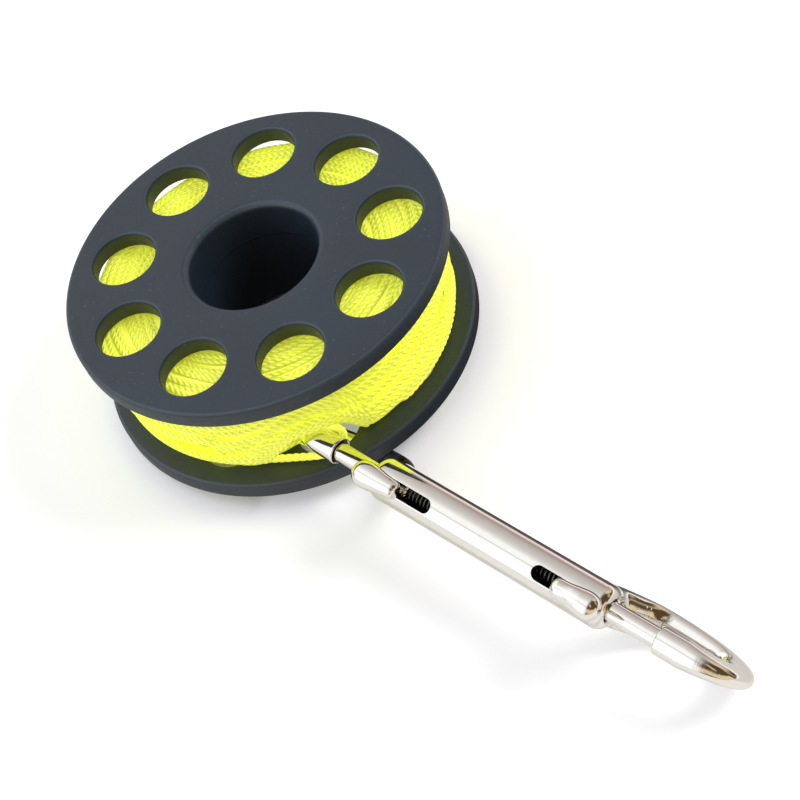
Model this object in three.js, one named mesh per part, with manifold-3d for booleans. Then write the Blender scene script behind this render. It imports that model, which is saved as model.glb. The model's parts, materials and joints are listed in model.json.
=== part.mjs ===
// Finger spool: line on a two-flange spool, with a double-ended bolt snap hooked through one hole.
// Millimetres, +Z up. The spool leans on the snap, and both lie on the surface at z = 0.
import * as THREE from 'three';
import * as BufferGeometryUtils from 'three/addons/utils/BufferGeometryUtils.js';
import Module from 'manifold-3d';

const wasm = await Module();
wasm.setup();

// Spool
const flangeRadius = 45;
const flangeThickness = 4.5;
const flangeSpacing = 22;
const rimRound = 0.8;
const boreRadius = 15.2;
const boreRound = 1.4;
const hubWall = 2.6;
const spigotLength = 5;
const holeCount = 9;
const holeRadius = 7.6;
const holeOutset = 0.9;
const snapHoleAngle = THREE.MathUtils.degToRad(-31);

// Line
const lineDiameter = 1.8;
const turnDiameter = 1.6;
const turnCount = 9;
const freeRim = 6.7;
const woundBulge = 1.2;
const turnTuck = 0.5;
const turnProud = 1.5;
const bightStartAngle = THREE.MathUtils.degToRad(-67);
const squeezeFullAngle = THREE.MathUtils.degToRad(14);
const squeezeEndAngle = THREE.MathUtils.degToRad(33);
const staggerFullAngle = THREE.MathUtils.degToRad(36);
const staggerEndAngle = THREE.MathUtils.degToRad(80);
const pocketSlack = 0.9;

// Snap
const barrelLength = 62;
const barrelRadius = 4.8;
const barrelEndRound = 2.4;
const gateRadius = 2.05;
const gateBoreSlack = 0.3;
const gateTravel = 8.9;
const gateInset = 9;
const hookOpening = 11.5;
const noseLength = 6;
const noseRadius = 2.9;
const noseSocketDepth = 1;
const armOffset = 14.4;
const armHalfWidth = 4;
const armHalfThickness = 1.75;
const bendHalfWidth = 2.8;
const springWire = 0.5;
const springRadius = 1.55;
const springCurls = 10;
const studInset = 6.9;
const studShankRadius = 1.2;
const studNeckRadius = 1.55;
const studHeadRadius = 3;
const studHeadReach = 4.6;
const ringLean = THREE.MathUtils.degToRad(60.5);

// Where the snap holds the spool
const junctionOutset = 3.35;
const junctionSlip = 0.98;
const leanAngle = THREE.MathUtils.degToRad(-27.4);

// Clearances and steps
const fitGap = 0.3;
const cutOverrun = 1;
const rimSides = 60;
const holeSides = 24;
const roundSteps = 3;
const barrelSides = 28;
const rodSides = 16;
const hookSides = 16;
const loopSteps = 24;
const loopSides = 6;
const curlSteps = 8;
const curlSides = 5;

// Sizes that follow from the ones above
const spoolHeight = 2 * flangeThickness + flangeSpacing;
const hubRadius = boreRadius + hubWall;
const spigotRadius = boreRadius + (hubWall - fitGap) / 2;
const lineTop = flangeThickness + flangeSpacing;
const holePitchRadius = (hubRadius + flangeRadius) / 2 + holeOutset;
const webRadius = (holePitchRadius + holeRadius + flangeRadius) / 2;
const woundRadius = flangeRadius - freeRim;
const turnRadius = turnDiameter / 2;
const lineRadius = lineDiameter / 2;
const gateHeight = flangeThickness + lineDiameter + 2 * fitGap + noseRadius;
const studAt = barrelLength / 2 - studInset;
const gateBack = barrelLength / 2 - gateInset;
const noseFaceAt = barrelLength / 2 + hookOpening;
const bendCentreAt = noseFaceAt + noseLength;
const bendRadius = armOffset / 2;
const gateBoreRadius = gateRadius + gateBoreSlack;
const tau = 2 * Math.PI;

// A closed outline point, in radius and height
function at(radius, height) {
  return new THREE.Vector2(radius, height);
}

function arc(centre, radius, from, to, steps = roundSteps) {
  const points = [];
  for (let i = 0; i <= steps; i++) {
    const angle = from + ((to - from) * i) / steps;
    points.push(at(centre.x + radius * Math.cos(angle), centre.y + radius * Math.sin(angle)));
  }
  return points;
}

// The rise from 0 to 1, without a kink at either end
function smooth(share) {
  const s = Math.min(Math.max(share, 0), 1);
  return s * s * (3 - 2 * s);
}

// A solid for cutting and joining, with its faces turned outward
function solid(geometry) {
  const plain = geometry.clone();
  plain.deleteAttribute('normal');
  plain.deleteAttribute('uv');
  const merged = BufferGeometryUtils.mergeVertices(plain);
  const points = merged.attributes.position.array;
  const index = merged.index.array;
  const corner = (i) => new THREE.Vector3().fromArray(points, 3 * i);
  const faces = [];
  let volume = 0;
  for (let i = 0; i < index.length; i += 3) {
    const [a, b, c] = [index[i], index[i + 1], index[i + 2]];
    if (a === b || b === c || c === a) continue;
    faces.push([a, b, c]);
    volume += corner(a).dot(corner(b).cross(corner(c)));
  }
  const outward = volume > 0 ? faces : faces.map(([a, b, c]) => [a, c, b]);
  const triVerts = new Uint32Array(outward.flat());
  return new wasm.Manifold(new wasm.Mesh({ numProp: 3, vertProperties: points, triVerts }));
}

function toGeometry(shape) {
  const mesh = shape.getMesh();
  const geometry = new THREE.BufferGeometry();
  geometry.setAttribute('position', new THREE.BufferAttribute(mesh.vertProperties, 3));
  geometry.setIndex(new THREE.BufferAttribute(mesh.triVerts, 1));
  geometry.computeVertexNormals();
  return geometry;
}

// An outline of radius and height turned round Z
function turned(outline, sides) {
  const geometry = new THREE.LatheGeometry([...outline, outline[0]], sides);
  return solid(geometry.rotateX(Math.PI / 2));
}

// The same, turned round X, for the snap's own pieces
function turnedAlongX(outline, sides) {
  const geometry = new THREE.LatheGeometry(outline, sides);
  return solid(geometry.rotateZ(-Math.PI / 2));
}

// Rings of points joined into one closed skin
function skin(rings) {
  const sides = rings[0].length;
  const points = rings.flat();
  const index = [];
  for (let r = 0; r + 1 < rings.length; r++) {
    for (let s = 0; s < sides; s++) {
      const a = r * sides + s;
      const b = r * sides + ((s + 1) % sides);
      index.push(a, b, b + sides, a, b + sides, a + sides);
    }
  }
  const last = (rings.length - 1) * sides;
  for (let s = 1; s + 1 < sides; s++) {
    index.push(0, s + 1, s, last, last + s, last + s + 1);
  }
  const geometry = new THREE.BufferGeometry().setFromPoints(points);
  geometry.setIndex(index);
  return geometry;
}

// A tube of one round section along points, its frame carried forward without twisting
function tube(points, radius, sides) {
  const side = new THREE.Vector3();
  const rings = points.map((point, i) => {
    const before = points[Math.max(i - 1, 0)];
    const after = points[Math.min(i + 1, points.length - 1)];
    const along = after.clone().sub(before).normalize();
    if (i === 0) side.set(along.y, -along.x, 0).normalize();
    side.addScaledVector(along, -side.dot(along)).normalize();
    const up = along.clone().cross(side);
    return Array.from({ length: sides }, (_, s) => {
      const angle = (tau * s) / sides;
      const across = side.clone().multiplyScalar(radius * Math.cos(angle));
      return across.addScaledVector(up, radius * Math.sin(angle)).add(point);
    });
  });
  return solid(skin(rings));
}

// One half of the spool: a pierced flange with its part of the hub
function spoolHalf(hubOutline, upper) {
  const rim = flangeRadius - rimRound;
  const outline = [
    ...arc(at(rim, rimRound), rimRound, -Math.PI / 2, 0),
    ...arc(at(rim, flangeThickness - rimRound), rimRound, 0, Math.PI / 2),
    at(hubRadius, flangeThickness),
    ...hubOutline,
    ...arc(at(boreRadius + boreRound, boreRound), boreRound, Math.PI, 1.5 * Math.PI),
  ];
  const placed = upper ? outline.map((p) => at(p.x, spoolHeight - p.y)) : outline;
  let half = turned(placed, rimSides);
  const depth = flangeThickness + 2 * cutOverrun;
  const drill = new THREE.CylinderGeometry(holeRadius, holeRadius, depth, holeSides);
  drill.rotateX(Math.PI / 2);
  const middle = flangeThickness / 2;
  drill.translate(holePitchRadius, 0, upper ? spoolHeight - middle : middle);
  for (let i = 0; i < holeCount; i++) {
    const angle = snapHoleAngle + (tau * i) / holeCount;
    half = half.subtract(solid(drill.clone().rotateZ(angle)));
  }
  return toGeometry(half);
}

function lowerHalf() {
  const joint = spoolHeight / 2;
  return spoolHalf([
    at(hubRadius, joint - fitGap / 2),
    at(spigotRadius, joint - fitGap / 2),
    at(spigotRadius, joint + spigotLength),
    at(boreRadius, joint + spigotLength),
  ], false);
}

function upperHalf() {
  const joint = spoolHeight / 2;
  return spoolHalf([
    at(hubRadius, joint - fitGap / 2),
    at(spigotRadius + fitGap, joint - fitGap / 2),
    at(spigotRadius + fitGap, joint - spigotLength - fitGap),
    at(boreRadius, joint - spigotLength - fitGap),
  ], true);
}

// The outer layer's barrel shape, at the middle of its turns
function layerRadius(height) {
  return woundRadius + woundBulge * Math.sin((Math.PI * (height - flangeThickness)) / flangeSpacing);
}

// A bar through stations of [x, z, half its width across Y, half its thickness], in the plane XZ
function bar(stations, sides) {
  const rings = stations.map(([x, z, halfWidth, halfThickness], i) => {
    const before = stations[Math.max(i - 1, 0)];
    const after = stations[Math.min(i + 1, stations.length - 1)];
    const run = new THREE.Vector2(after[0] - before[0], after[1] - before[1]).normalize();
    return Array.from({ length: sides }, (_, s) => {
      const angle = (tau * s) / sides;
      const off = halfThickness * Math.sin(angle);
      return new THREE.Vector3(x - run.y * off, halfWidth * Math.cos(angle), z + run.x * off);
    });
  });
  return solid(skin(rings));
}

// A cylinder along X from one place to another
function roundBar(radius, from, to, sides) {
  const geometry = new THREE.CylinderGeometry(radius, radius, to - from, sides);
  geometry.rotateZ(-Math.PI / 2).translate((from + to) / 2, 0, 0);
  return solid(geometry);
}

// The hook: out of the barrel, along the arm, round the bend and back to the nose
const armShares = [
  [0, 0.09, 0.9, 1.4],
  [0.14, 0.2, 1.04, 1.7],
  [0.29, 0.5, 1.05, 1.5],
  [0.43, 0.83, 0.98, 1.2],
  [0.57, 0.98, 0.92, 1],
  [0.79, 1, 0.86, 0.95],
  [1, 1, 0.76, 1],
];
const bendSteps = 9;
const noseEndShares = [0, 0.45, 1];

function hook() {
  const reach = bendCentreAt - gateBack;
  const stations = armShares.map(([along, drop, width, thickness]) => [
    gateBack + along * reach, -drop * armOffset, width * armHalfWidth, thickness * armHalfThickness,
  ]);
  const armEnd = stations[stations.length - 1];
  for (let i = 1; i < bendSteps; i++) {
    const share = i / bendSteps;
    const angle = Math.PI * share;
    const narrow = share < 0.5 ? armEnd[2] : noseRadius;
    const waist = Math.sin(angle);
    const lean = smooth(share);
    stations.push([
      bendCentreAt + bendRadius * Math.sin(angle),
      -bendRadius - bendRadius * Math.cos(angle),
      bendHalfWidth * waist + narrow * (1 - waist),
      armHalfThickness + (noseRadius - armHalfThickness) * lean,
    ]);
  }
  for (const share of noseEndShares) {
    const x = bendCentreAt + (noseFaceAt - bendCentreAt) * share;
    stations.push([x, 0, noseRadius, noseRadius]);
  }
  return bar(stations, hookSides);
}

// The barrel's floor behind each gate leaves room for the spring when it is squeezed
const springSolidLength = (springCurls + 2) * springWire;
const boreFloorAt = gateBack - gateTravel - springSolidLength - 2 * fitGap;

function casting() {
  const half = barrelLength / 2;
  const shoulder = half - barrelEndRound;
  const inner = barrelRadius - barrelEndRound;
  const outline = [
    at(0, -half),
    ...arc(at(inner, -shoulder), barrelEndRound, -Math.PI / 2, 0),
    ...arc(at(inner, shoulder), barrelEndRound, 0, Math.PI / 2),
    at(0, half),
  ];
  const slotHalf = studNeckRadius + fitGap;
  const slotShape = new THREE.Shape();
  slotShape.absarc(studAt, 0, slotHalf, -Math.PI / 2, Math.PI / 2);
  slotShape.absarc(studAt - gateTravel, 0, slotHalf, Math.PI / 2, 1.5 * Math.PI);
  const slotDepth = barrelRadius + cutOverrun;
  const slot = solid(new THREE.ExtrudeGeometry(slotShape, {
    depth: slotDepth, bevelEnabled: false, curveSegments: roundSteps * 2,
  }));
  const bore = roundBar(gateBoreRadius, boreFloorAt, noseFaceAt, rodSides);
  const socketEnd = noseFaceAt + noseSocketDepth;
  const socket = roundBar(gateBoreRadius, noseFaceAt - cutOverrun, socketEnd, rodSides);
  const cuts = slot.add(bore).add(socket);
  let body = turnedAlongX(outline, barrelSides);
  for (const turn of [0, 180]) {
    body = body.add(hook().rotate([0, 0, turn]));
  }
  for (const turn of [0, 180]) {
    body = body.subtract(cuts.rotate([0, 0, turn]));
  }
  return toGeometry(body);
}

const shankFloor = 0.3 * gateRadius;
const gateTipRound = 0.25 * gateRadius;

function gate() {
  const tip = noseFaceAt + noseSocketDepth - fitGap;
  const outline = [
    at(0, gateBack),
    at(gateRadius, gateBack),
    ...arc(at(gateRadius - gateTipRound, tip - gateTipRound), gateTipRound, 0, Math.PI / 2),
    at(0, tip),
  ];
  const drillRadius = studShankRadius + fitGap;
  const drill = new THREE.CylinderGeometry(drillRadius, drillRadius, gateRadius, rodSides);
  drill.rotateX(Math.PI / 2).translate(studAt, 0, shankFloor + gateRadius / 2);
  return toGeometry(turnedAlongX(outline, rodSides).subtract(solid(drill)));
}

// The thumb stud: a shank in the gate, a neck in the slot and a long round head that reaches
// back over the slot and out past the barrel's end. The head's shares are of its reach, of its
// radius above the barrel, and of its radius.
const studHeadShares = [
  [-0.74, 0.96, 0.3],
  [-0.65, 0.96, 0.55],
  [-0.43, 0.97, 0.72],
  [0, 0.99, 0.8],
  [0.54, 1.03, 0.9],
  [1.09, 1.08, 0.97],
  [1.43, 1.1, 0.87],
  [1.65, 1.1, 0.6],
  [1.75, 1.1, 0.3],
];
const shankEndShare = 0.18;
const neckStartShare = 0.336;
const neckEndShare = 1.9;

function stud() {
  const onAxis = (share, radius) => [
    studAt, gateRadius + share * (barrelRadius - gateRadius), radius, radius,
  ];
  const head = studHeadShares.map(([reach, stand, size]) => [
    studAt + reach * studHeadReach,
    barrelRadius + stand * studHeadRadius,
    size * studHeadRadius,
    size * studHeadRadius,
  ]);
  const stem = [
    [studAt, shankFloor + fitGap, studShankRadius, studShankRadius],
    onAxis(shankEndShare, studShankRadius),
    onAxis(neckStartShare, studNeckRadius),
    onAxis(neckEndShare, studNeckRadius),
  ];
  return toGeometry(bar(stem, rodSides).add(bar(head, rodSides)));
}

// The least distance between two stretches of one tube, less its diameter
function leastGap(points, diameter, steps) {
  let least = Infinity;
  for (let i = 0; i < points.length; i++) {
    for (let j = i + Math.ceil(steps / 2); j < points.length; j++) {
      least = Math.min(least, points[i].distanceTo(points[j]) - diameter);
    }
  }
  return least;
}

function spring() {
  const start = boreFloorAt + fitGap;
  const end = gateBack - fitGap;
  const steps = springCurls * curlSteps;
  const points = [new THREE.Vector3(start, springRadius, 0)];
  for (let i = 0; i <= steps; i++) {
    const angle = (tau * i) / curlSteps;
    const x = start + springWire + ((end - start - 2 * springWire) * i) / steps;
    points.push(new THREE.Vector3(x, springRadius * Math.cos(angle), springRadius * Math.sin(angle)));
  }
  points.push(new THREE.Vector3(end, springRadius, 0));
  console.log('spring: least gap between curls', leastGap(points, springWire, curlSteps).toFixed(2));
  return toGeometry(tube(points, springWire / 2, curlSides));
}

// Finishes, as seen on each piece
function finish(color, roughness, metalness) {
  return new THREE.MeshStandardMaterial({ color, roughness, metalness });
}

function piece(name, geometry, material) {
  const mesh = new THREE.Mesh(geometry, material);
  mesh.name = name;
  return mesh;
}

const satinBlack = () => finish(0x24272c, 0.45, 0);
const brightLine = () => finish(0xd8f21c, 0.75, 0);
const nickel = () => finish(0xd9d5cf, 0.12, 1);
const springSteel = () => finish(0x8b8d90, 0.35, 1);

// The snap. Its own frame has X along the gates and Z away from the arms, and turns round X
// so that the arms point down and away, at the angle it lies at.
const snap = new THREE.Group();
const castingGeometry = casting();
snap.add(piece('snap_body', castingGeometry, nickel()));
for (const [end, turn] of [['far', 0], ['near', Math.PI]]) {
  const side = new THREE.Group();
  side.rotation.z = turn;
  side.add(piece(`${end}_gate`, gate(), nickel()));
  side.add(piece(`${end}_thumb_stud`, stud(), nickel()));
  side.add(piece(`${end}_gate_spring`, spring(), springSteel()));
  snap.add(side);
}
snap.rotation.x = Math.PI / 2 - ringLean;
snap.updateMatrixWorld(true);
const axisHeight = -new THREE.Box3().setFromObject(snap, true).min.z;
snap.position.z = axisHeight;
snap.updateMatrixWorld(true);

// The spool. Its near junction with the snap sets its place, and it leans until its rim
// meets the surface that the arms lie on.
const outward = new THREE.Vector3(Math.cos(snapHoleAngle), Math.sin(snapHoleAngle), 0);
const sideways = new THREE.Vector3(-outward.y, outward.x, 0);
const junction = outward.clone().multiplyScalar(webRadius + junctionOutset);
junction.addScaledVector(sideways, junctionSlip).setZ(gateHeight);
const uphill = new THREE.Vector3(Math.cos(leanAngle), Math.sin(leanAngle), 0);
const leverArm = flangeRadius - rimRound + junction.dot(uphill);
const leverHeight = gateHeight - rimRound;
const lean = Math.asin((axisHeight - rimRound) / Math.hypot(leverArm, leverHeight))
  - Math.atan2(leverHeight, leverArm);
const spool = new THREE.Group();
spool.setRotationFromAxisAngle(new THREE.Vector3(uphill.y, -uphill.x, 0), lean);
spool.position.set(-noseFaceAt, 0, axisHeight);
spool.position.sub(junction.clone().applyQuaternion(spool.quaternion));
spool.updateMatrixWorld(true);
spool.add(piece('lower_flange', lowerHalf(), satinBlack()));
spool.add(piece('upper_flange', upperHalf(), satinBlack()));

// The room that the near hook takes up inside the winding, seen from the snap's hole
const hookRoom = new THREE.Box3();
const toHole = spool.matrixWorld.clone().invert().multiply(snap.matrixWorld);
toHole.premultiply(new THREE.Matrix4().makeRotationZ(-snapHoleAngle));
const castingPoints = castingGeometry.attributes.position;
for (let i = 0; i < castingPoints.count; i++) {
  const point = new THREE.Vector3().fromBufferAttribute(castingPoints, i);
  if (point.x > -noseFaceAt) continue;
  point.applyMatrix4(toHole);
  if (point.z > flangeThickness) hookRoom.expandByPoint(point);
}
const pocketTop = hookRoom.max.z + pocketSlack;
const pocketAngle = snapHoleAngle
  + Math.atan2((hookRoom.min.y + hookRoom.max.y) / 2, holePitchRadius + holeRadius);

// The route of the line's free bight, hand-laid: from the winding's end, under the nose,
// round its far side and back over it into the winding. Points in the spool's own frame.
const bightRoute = [
  [16.8, -34.6, 5.7],
  [19, -33.6, 5.7],
  [23.1, -31, 5.7],
  [26.4, -28.9, 5.7],
  [29.5, -26.8, 5.7],
  [31.9, -25.2, 5.75],
  [33.6, -23.9, 5.75],
  [34.9, -22.4, 5.8],
  [35.85, -20.65, 6.35],
  [36.45, -19.2, 7.75],
  [36.75, -18.55, 9.65],
  [36.85, -18.9, 11.65],
  [36.55, -19.53, 12.76],
  [35.74, -20.32, 13.62],
  [34.57, -21.09, 14.09],
  [33.28, -21.9, 14.2],
  [31.9, -22.7, 14.2],
  [30.5, -23.4, 14.15],
  [29.1, -24.05, 14.05],
  [27.7, -24.65, 13.9],
];
const bightPoints = bightRoute.map((point) => new THREE.Vector3(...point));
const bightSides = 8;

function bight() {
  const curve = new THREE.CatmullRomCurve3(bightPoints);
  const steps = Math.ceil(curve.getLength() / lineDiameter);
  return toGeometry(tube(curve.getSpacedPoints(steps), lineRadius, bightSides));
}

// The inner layers: a plain core, open for the hook and for the bight's end
function innerLayers() {
  const low = flangeThickness + fitGap;
  const high = lineTop - fitGap;
  const coreSteps = 6;
  const sagitta = woundRadius * (1 - Math.cos(Math.PI / loopSteps));
  const under = turnRadius + turnTuck + sagitta + fitGap;
  const outline = [at(hubRadius + fitGap, low)];
  for (let i = 0; i <= coreSteps; i++) {
    const height = low + ((high - low) * i) / coreSteps;
    outline.push(at(layerRadius(height) - under, height));
  }
  outline.push(at(hubRadius + fitGap, high));
  const depth = flangeRadius - hookRoom.min.x + pocketSlack;
  const width = hookRoom.max.y - hookRoom.min.y + 2 * pocketSlack;
  const height = pocketTop - flangeThickness;
  const room = new THREE.BoxGeometry(depth, width, height);
  room.translate(
    flangeRadius - depth / 2,
    (hookRoom.min.y + hookRoom.max.y) / 2,
    flangeThickness + height / 2,
  );
  room.rotateZ(snapHoleAngle);
  const [before, last] = bightPoints.slice(-2);
  const onward = last.clone().sub(before).normalize();
  const floor = last.clone().addScaledVector(onward, fitGap);
  const mouth = floor.clone().addScaledVector(onward, -flangeThickness);
  const socket = tube([mouth, floor], lineRadius + fitGap, rodSides);
  const core = turned(outline, rimSides).subtract(solid(room));
  return toGeometry(core.subtract(socket));
}

// The outer layer, one tube: it climbs evenly, and over the hook its turns close up,
// every second one standing proud
function outerLayer() {
  const steps = turnCount * loopSteps;
  const low = flangeThickness + fitGap + lineRadius;
  const high = lineTop - fitGap - turnRadius;
  const bightTop = Math.max(...bightPoints.map((point) => point.z)) + lineRadius;
  const hookFloor = Math.max(pocketTop, bightTop) + fitGap + turnRadius;
  const points = [];
  for (let i = 0; i <= steps; i++) {
    const turn = (tau * i) / loopSteps;
    const angle = bightStartAngle - turn;
    const away = Math.abs(Math.atan2(Math.sin(angle - pocketAngle), Math.cos(angle - pocketAngle)));
    const squeeze = 1 - smooth((away - squeezeFullAngle) / (squeezeEndAngle - squeezeFullAngle));
    const stagger = 1 - smooth((away - staggerFullAngle) / (staggerEndAngle - staggerFullAngle));
    const lap = Math.floor((turn + pocketAngle - bightStartAngle + Math.PI) / tau);
    const share = i / steps;
    const height = low + (high - low) * share + squeeze * (hookFloor - low) * (1 - share);
    const shift = lap % 2 === 0 ? turnProud : -turnTuck;
    const radius = layerRadius(height) + stagger * shift;
    points.push(new THREE.Vector3(radius * Math.cos(angle), radius * Math.sin(angle), height));
  }
  for (const [end, next] of [[0, 1], [points.length - 1, points.length - 2]]) {
    const straight = points[end].clone().sub(points[next]).setLength(turnDiameter);
    const tip = points[end].clone().add(straight);
    if (end === 0) points.unshift(tip);
    else points.push(tip);
  }
  console.log('winding: least gap between turns', leastGap(points, turnDiameter, loopSteps).toFixed(2));
  return toGeometry(tube(points, turnRadius, loopSides));
}

spool.add(piece('line_core', innerLayers(), brightLine()));
spool.add(piece('line_winding', outerLayer(), brightLine()));

// The object stands with the middle of its footprint at the origin
const object = new THREE.Group();
object.add(spool, snap);
object.updateMatrixWorld(true);
const bounds = new THREE.Box3().setFromObject(object, true);
const middle = bounds.getCenter(new THREE.Vector3());
object.position.set(-middle.x, -middle.y, -bounds.min.z);
spool.add(piece('line_bight', bight(), brightLine()));
object.updateMatrixWorld(true);

export default object;
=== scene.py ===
# %% [markdown]
# # A finger spool and its bolt snap
# A finger spool is a reel without a handle: two pierced flanges on a hub, a hundred feet of
# braided line between them, and a double-ended bolt snap that locks the line by hooking through
# a hole in one flange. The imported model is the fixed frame. It says where every piece lies and
# what moves with what, and this file gives each piece its fine shape and its finish.

import json
import math
from itertools import product

import bmesh
import bpy
import numpy as np
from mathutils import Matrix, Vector


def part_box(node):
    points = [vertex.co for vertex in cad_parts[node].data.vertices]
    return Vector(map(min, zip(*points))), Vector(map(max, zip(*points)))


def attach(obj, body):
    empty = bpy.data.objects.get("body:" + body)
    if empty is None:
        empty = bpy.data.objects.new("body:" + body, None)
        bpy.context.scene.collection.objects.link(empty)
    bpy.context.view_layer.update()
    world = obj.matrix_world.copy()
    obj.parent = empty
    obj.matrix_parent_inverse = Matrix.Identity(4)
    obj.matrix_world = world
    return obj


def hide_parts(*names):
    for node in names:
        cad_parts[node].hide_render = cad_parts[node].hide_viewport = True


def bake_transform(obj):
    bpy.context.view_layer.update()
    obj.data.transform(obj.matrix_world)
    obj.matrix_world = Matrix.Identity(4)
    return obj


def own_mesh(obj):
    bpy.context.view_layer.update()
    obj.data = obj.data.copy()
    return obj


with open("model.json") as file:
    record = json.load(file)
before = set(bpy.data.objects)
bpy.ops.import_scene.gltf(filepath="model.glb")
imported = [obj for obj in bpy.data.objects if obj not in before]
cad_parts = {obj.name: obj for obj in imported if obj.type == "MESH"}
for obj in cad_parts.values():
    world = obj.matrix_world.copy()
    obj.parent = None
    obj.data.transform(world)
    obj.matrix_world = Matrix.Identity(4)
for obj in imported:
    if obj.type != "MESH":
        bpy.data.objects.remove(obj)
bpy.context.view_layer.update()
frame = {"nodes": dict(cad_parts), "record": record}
mm = 0.001
tau = 2 * math.pi
tiny = 1e-9

# %% [markdown]
# ## The camera
# The view looks steeply down on the spool, with the snap running towards the viewer's right.
# The lens is a short telephoto, so the far flange edge is only a little smaller than the near
# one. Place and turn are set straight on the camera object, which keeps them easy to compare.

# %% Place the camera
camera_place = (215.25 * mm, -133.91 * mm, 341.12 * mm)
camera_turn = (35.391, 14.700, 40.077)
camera_lens = 85.15

camera_data = bpy.data.cameras.new("camera")
camera_data.lens = camera_lens
camera = bpy.data.objects.new("camera", camera_data)
camera.location = camera_place
camera.rotation_euler = [math.radians(angle) for angle in camera_turn]
bpy.context.scene.collection.objects.link(camera)
bpy.context.scene.camera = camera
print("camera at", [round(part, 3) for part in camera_place])

# %% [markdown]
# ## Two places
# The spool leans on the snap, and the snap lies rolled on one side, so each has axes of its own.
# Drawing a flange is simple in the flange's own millimetres. A Place carries such points into
# the frame's metres, and both places are read off the frame: the spool's axis is the direction
# of the flat face on top, and the snap's axis runs through the middle of its two gates. Only
# the snap's roll is written down here, as how far the plane of its hooks leans.

# %% Read both places off the frame
ring_lean = math.radians(60.5)


class Place:
    """Axes of its own, in millimetres, somewhere in the frame."""

    def __init__(self, axes, origin):
        self.axes = np.array(axes, float)
        self.origin = np.array(origin, float)

    def out(self, points):
        return self.origin + mm * np.asarray(points, float) @ self.axes.T

    def back(self, points):
        return (np.asarray(points, float) - self.origin) @ self.axes / mm


def read_points(items, name):
    """A place or a direction of every item of a mesh."""
    flat = np.empty(3 * len(items), np.float32)
    items.foreach_get(name, flat)
    return flat.reshape(-1, 3).astype(float)


def read_spool_place():
    mounts = {mount["name"]: mount for mount in frame["record"]["mounts"]}
    axis = Vector(mounts["spool_top_face"]["axis"])
    axes = np.array(Vector((0, 0, 1)).rotation_difference(axis).to_matrix())
    flange = read_points(frame["nodes"]["lower_flange"].data.vertices, "co") @ axes
    low, high = flange.min(0), flange.max(0)
    return Place(axes, axes @ np.array([(low[0] + high[0]) / 2, (low[1] + high[1]) / 2, low[2]]))


def read_snap_place():
    roll = math.pi / 2 - ring_lean
    axes = [
        [1, 0, 0],
        [0, math.cos(roll), -math.sin(roll)],
        [0, math.sin(roll), math.cos(roll)],
    ]
    middles = [sum(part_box(f"{end}_gate"), Vector()) / 2 for end in ("near", "far")]
    return Place(axes, (middles[0] + middles[1]) / 2)


spool_place = read_spool_place()
snap_place = read_snap_place()
print("spool at", spool_place.origin.round(4), "snap at", snap_place.origin.round(4))

# %% [markdown]
# ## Rings of points
# Nearly everything here is rings of points joined by quads: a turned flange, a line, a wire.
# Blender's Screw modifier could turn a profile, but it can't vary the section on the way, so
# the rings are worked out as arrays, and one helper joins them into a skin.

# %% Rings and their faces
def circle(sides):
    """The cosines and sines of angles evenly round a circle."""
    angles = np.arange(sides) * tau / sides
    return np.cos(angles), np.sin(angles)


def points_of(x, y, z):
    """Points from three sets of numbers, which may be of fewer dimensions."""
    return np.stack(np.broadcast_arrays(x, y, z), axis=-1)


def around_z(radius, angle, height):
    """Points at radii and angles round Z, and at heights."""
    return points_of(radius * np.cos(angle), radius * np.sin(angle), height)


def ring_faces(rings, sides, closed_ends=True, looped=False):
    """The quads that join rings of points, and the two end caps."""
    first = np.arange(rings if looped else rings - 1)[:, None] * sides
    a, b = first + np.arange(sides), first + (np.arange(sides) + 1) % sides
    c, d = (b + sides) % (rings * sides), (a + sides) % (rings * sides)
    faces = np.stack([a, b, c, d], axis=-1).reshape(-1, 4).tolist()
    if closed_ends and not looped:
        faces.append(list(range(sides))[::-1])
        faces.append(list(range((rings - 1) * sides, rings * sides)))
    return faces


def joined(parts):
    """Several sets of points and faces as one."""
    points, faces, base = [], [], 0
    for some_points, some_faces in parts:
        points.append(np.reshape(some_points, (-1, 3)))
        faces += [[base + i for i in face] for face in some_faces]
        base += len(points[-1])
    return np.vstack(points), faces


print("a square tube of two rings has", len(ring_faces(2, 4)), "faces")

# %% [markdown]
# ## Pieces
# A piece is a mesh that rides on one of the frame's bodies, takes a finish, and may stand for a
# plain solid of the frame. Booleans and shading both need faces that point outward, so each
# closed skin is turned that way once, whatever order its rings came in. A finish can't see an
# edge or a cut, so a mesh carries such values for it.

# %% Make a piece and hand it over
def make_mesh(name, points, faces, sharp=None):
    mesh = bpy.data.meshes.new(name)
    mesh.from_pydata(np.reshape(np.asarray(points, float), (-1, 3)).tolist(), [], faces)
    mesh.validate()
    mesh.shade_smooth()
    if sharp is not None:
        mesh.set_sharp_from_angle(angle=math.radians(sharp))
    thing = bpy.data.objects.new(name, mesh)
    bpy.context.scene.collection.objects.link(thing)
    return thing


def turn_outward(thing, weld=None):
    """Merges points closer than weld, and turns the faces of each shell outward."""
    shell = bmesh.new()
    shell.from_mesh(thing.data)
    if weld:
        bmesh.ops.remove_doubles(shell, verts=shell.verts, dist=weld)
        open_edges = sum(1 for edge in shell.edges if len(edge.link_faces) != 2)
        print(thing.name, "welded, with", open_edges, "open edges")
    bmesh.ops.recalc_face_normals(shell, faces=shell.faces)
    shell.to_mesh(thing.data)
    shell.free()
    return thing


def solid(name, place, points, faces, sharp=None):
    """A closed piece from points of a place."""
    return turn_outward(make_mesh(name, place.out(points), faces, sharp))


def set_value(thing, name, values, domain="POINT"):
    """A number on each point or face, which a finish can read."""
    layer = thing.data.attributes.new(name, "FLOAT", domain)
    layer.data.foreach_set("value", np.asarray(values, np.float32))


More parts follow.
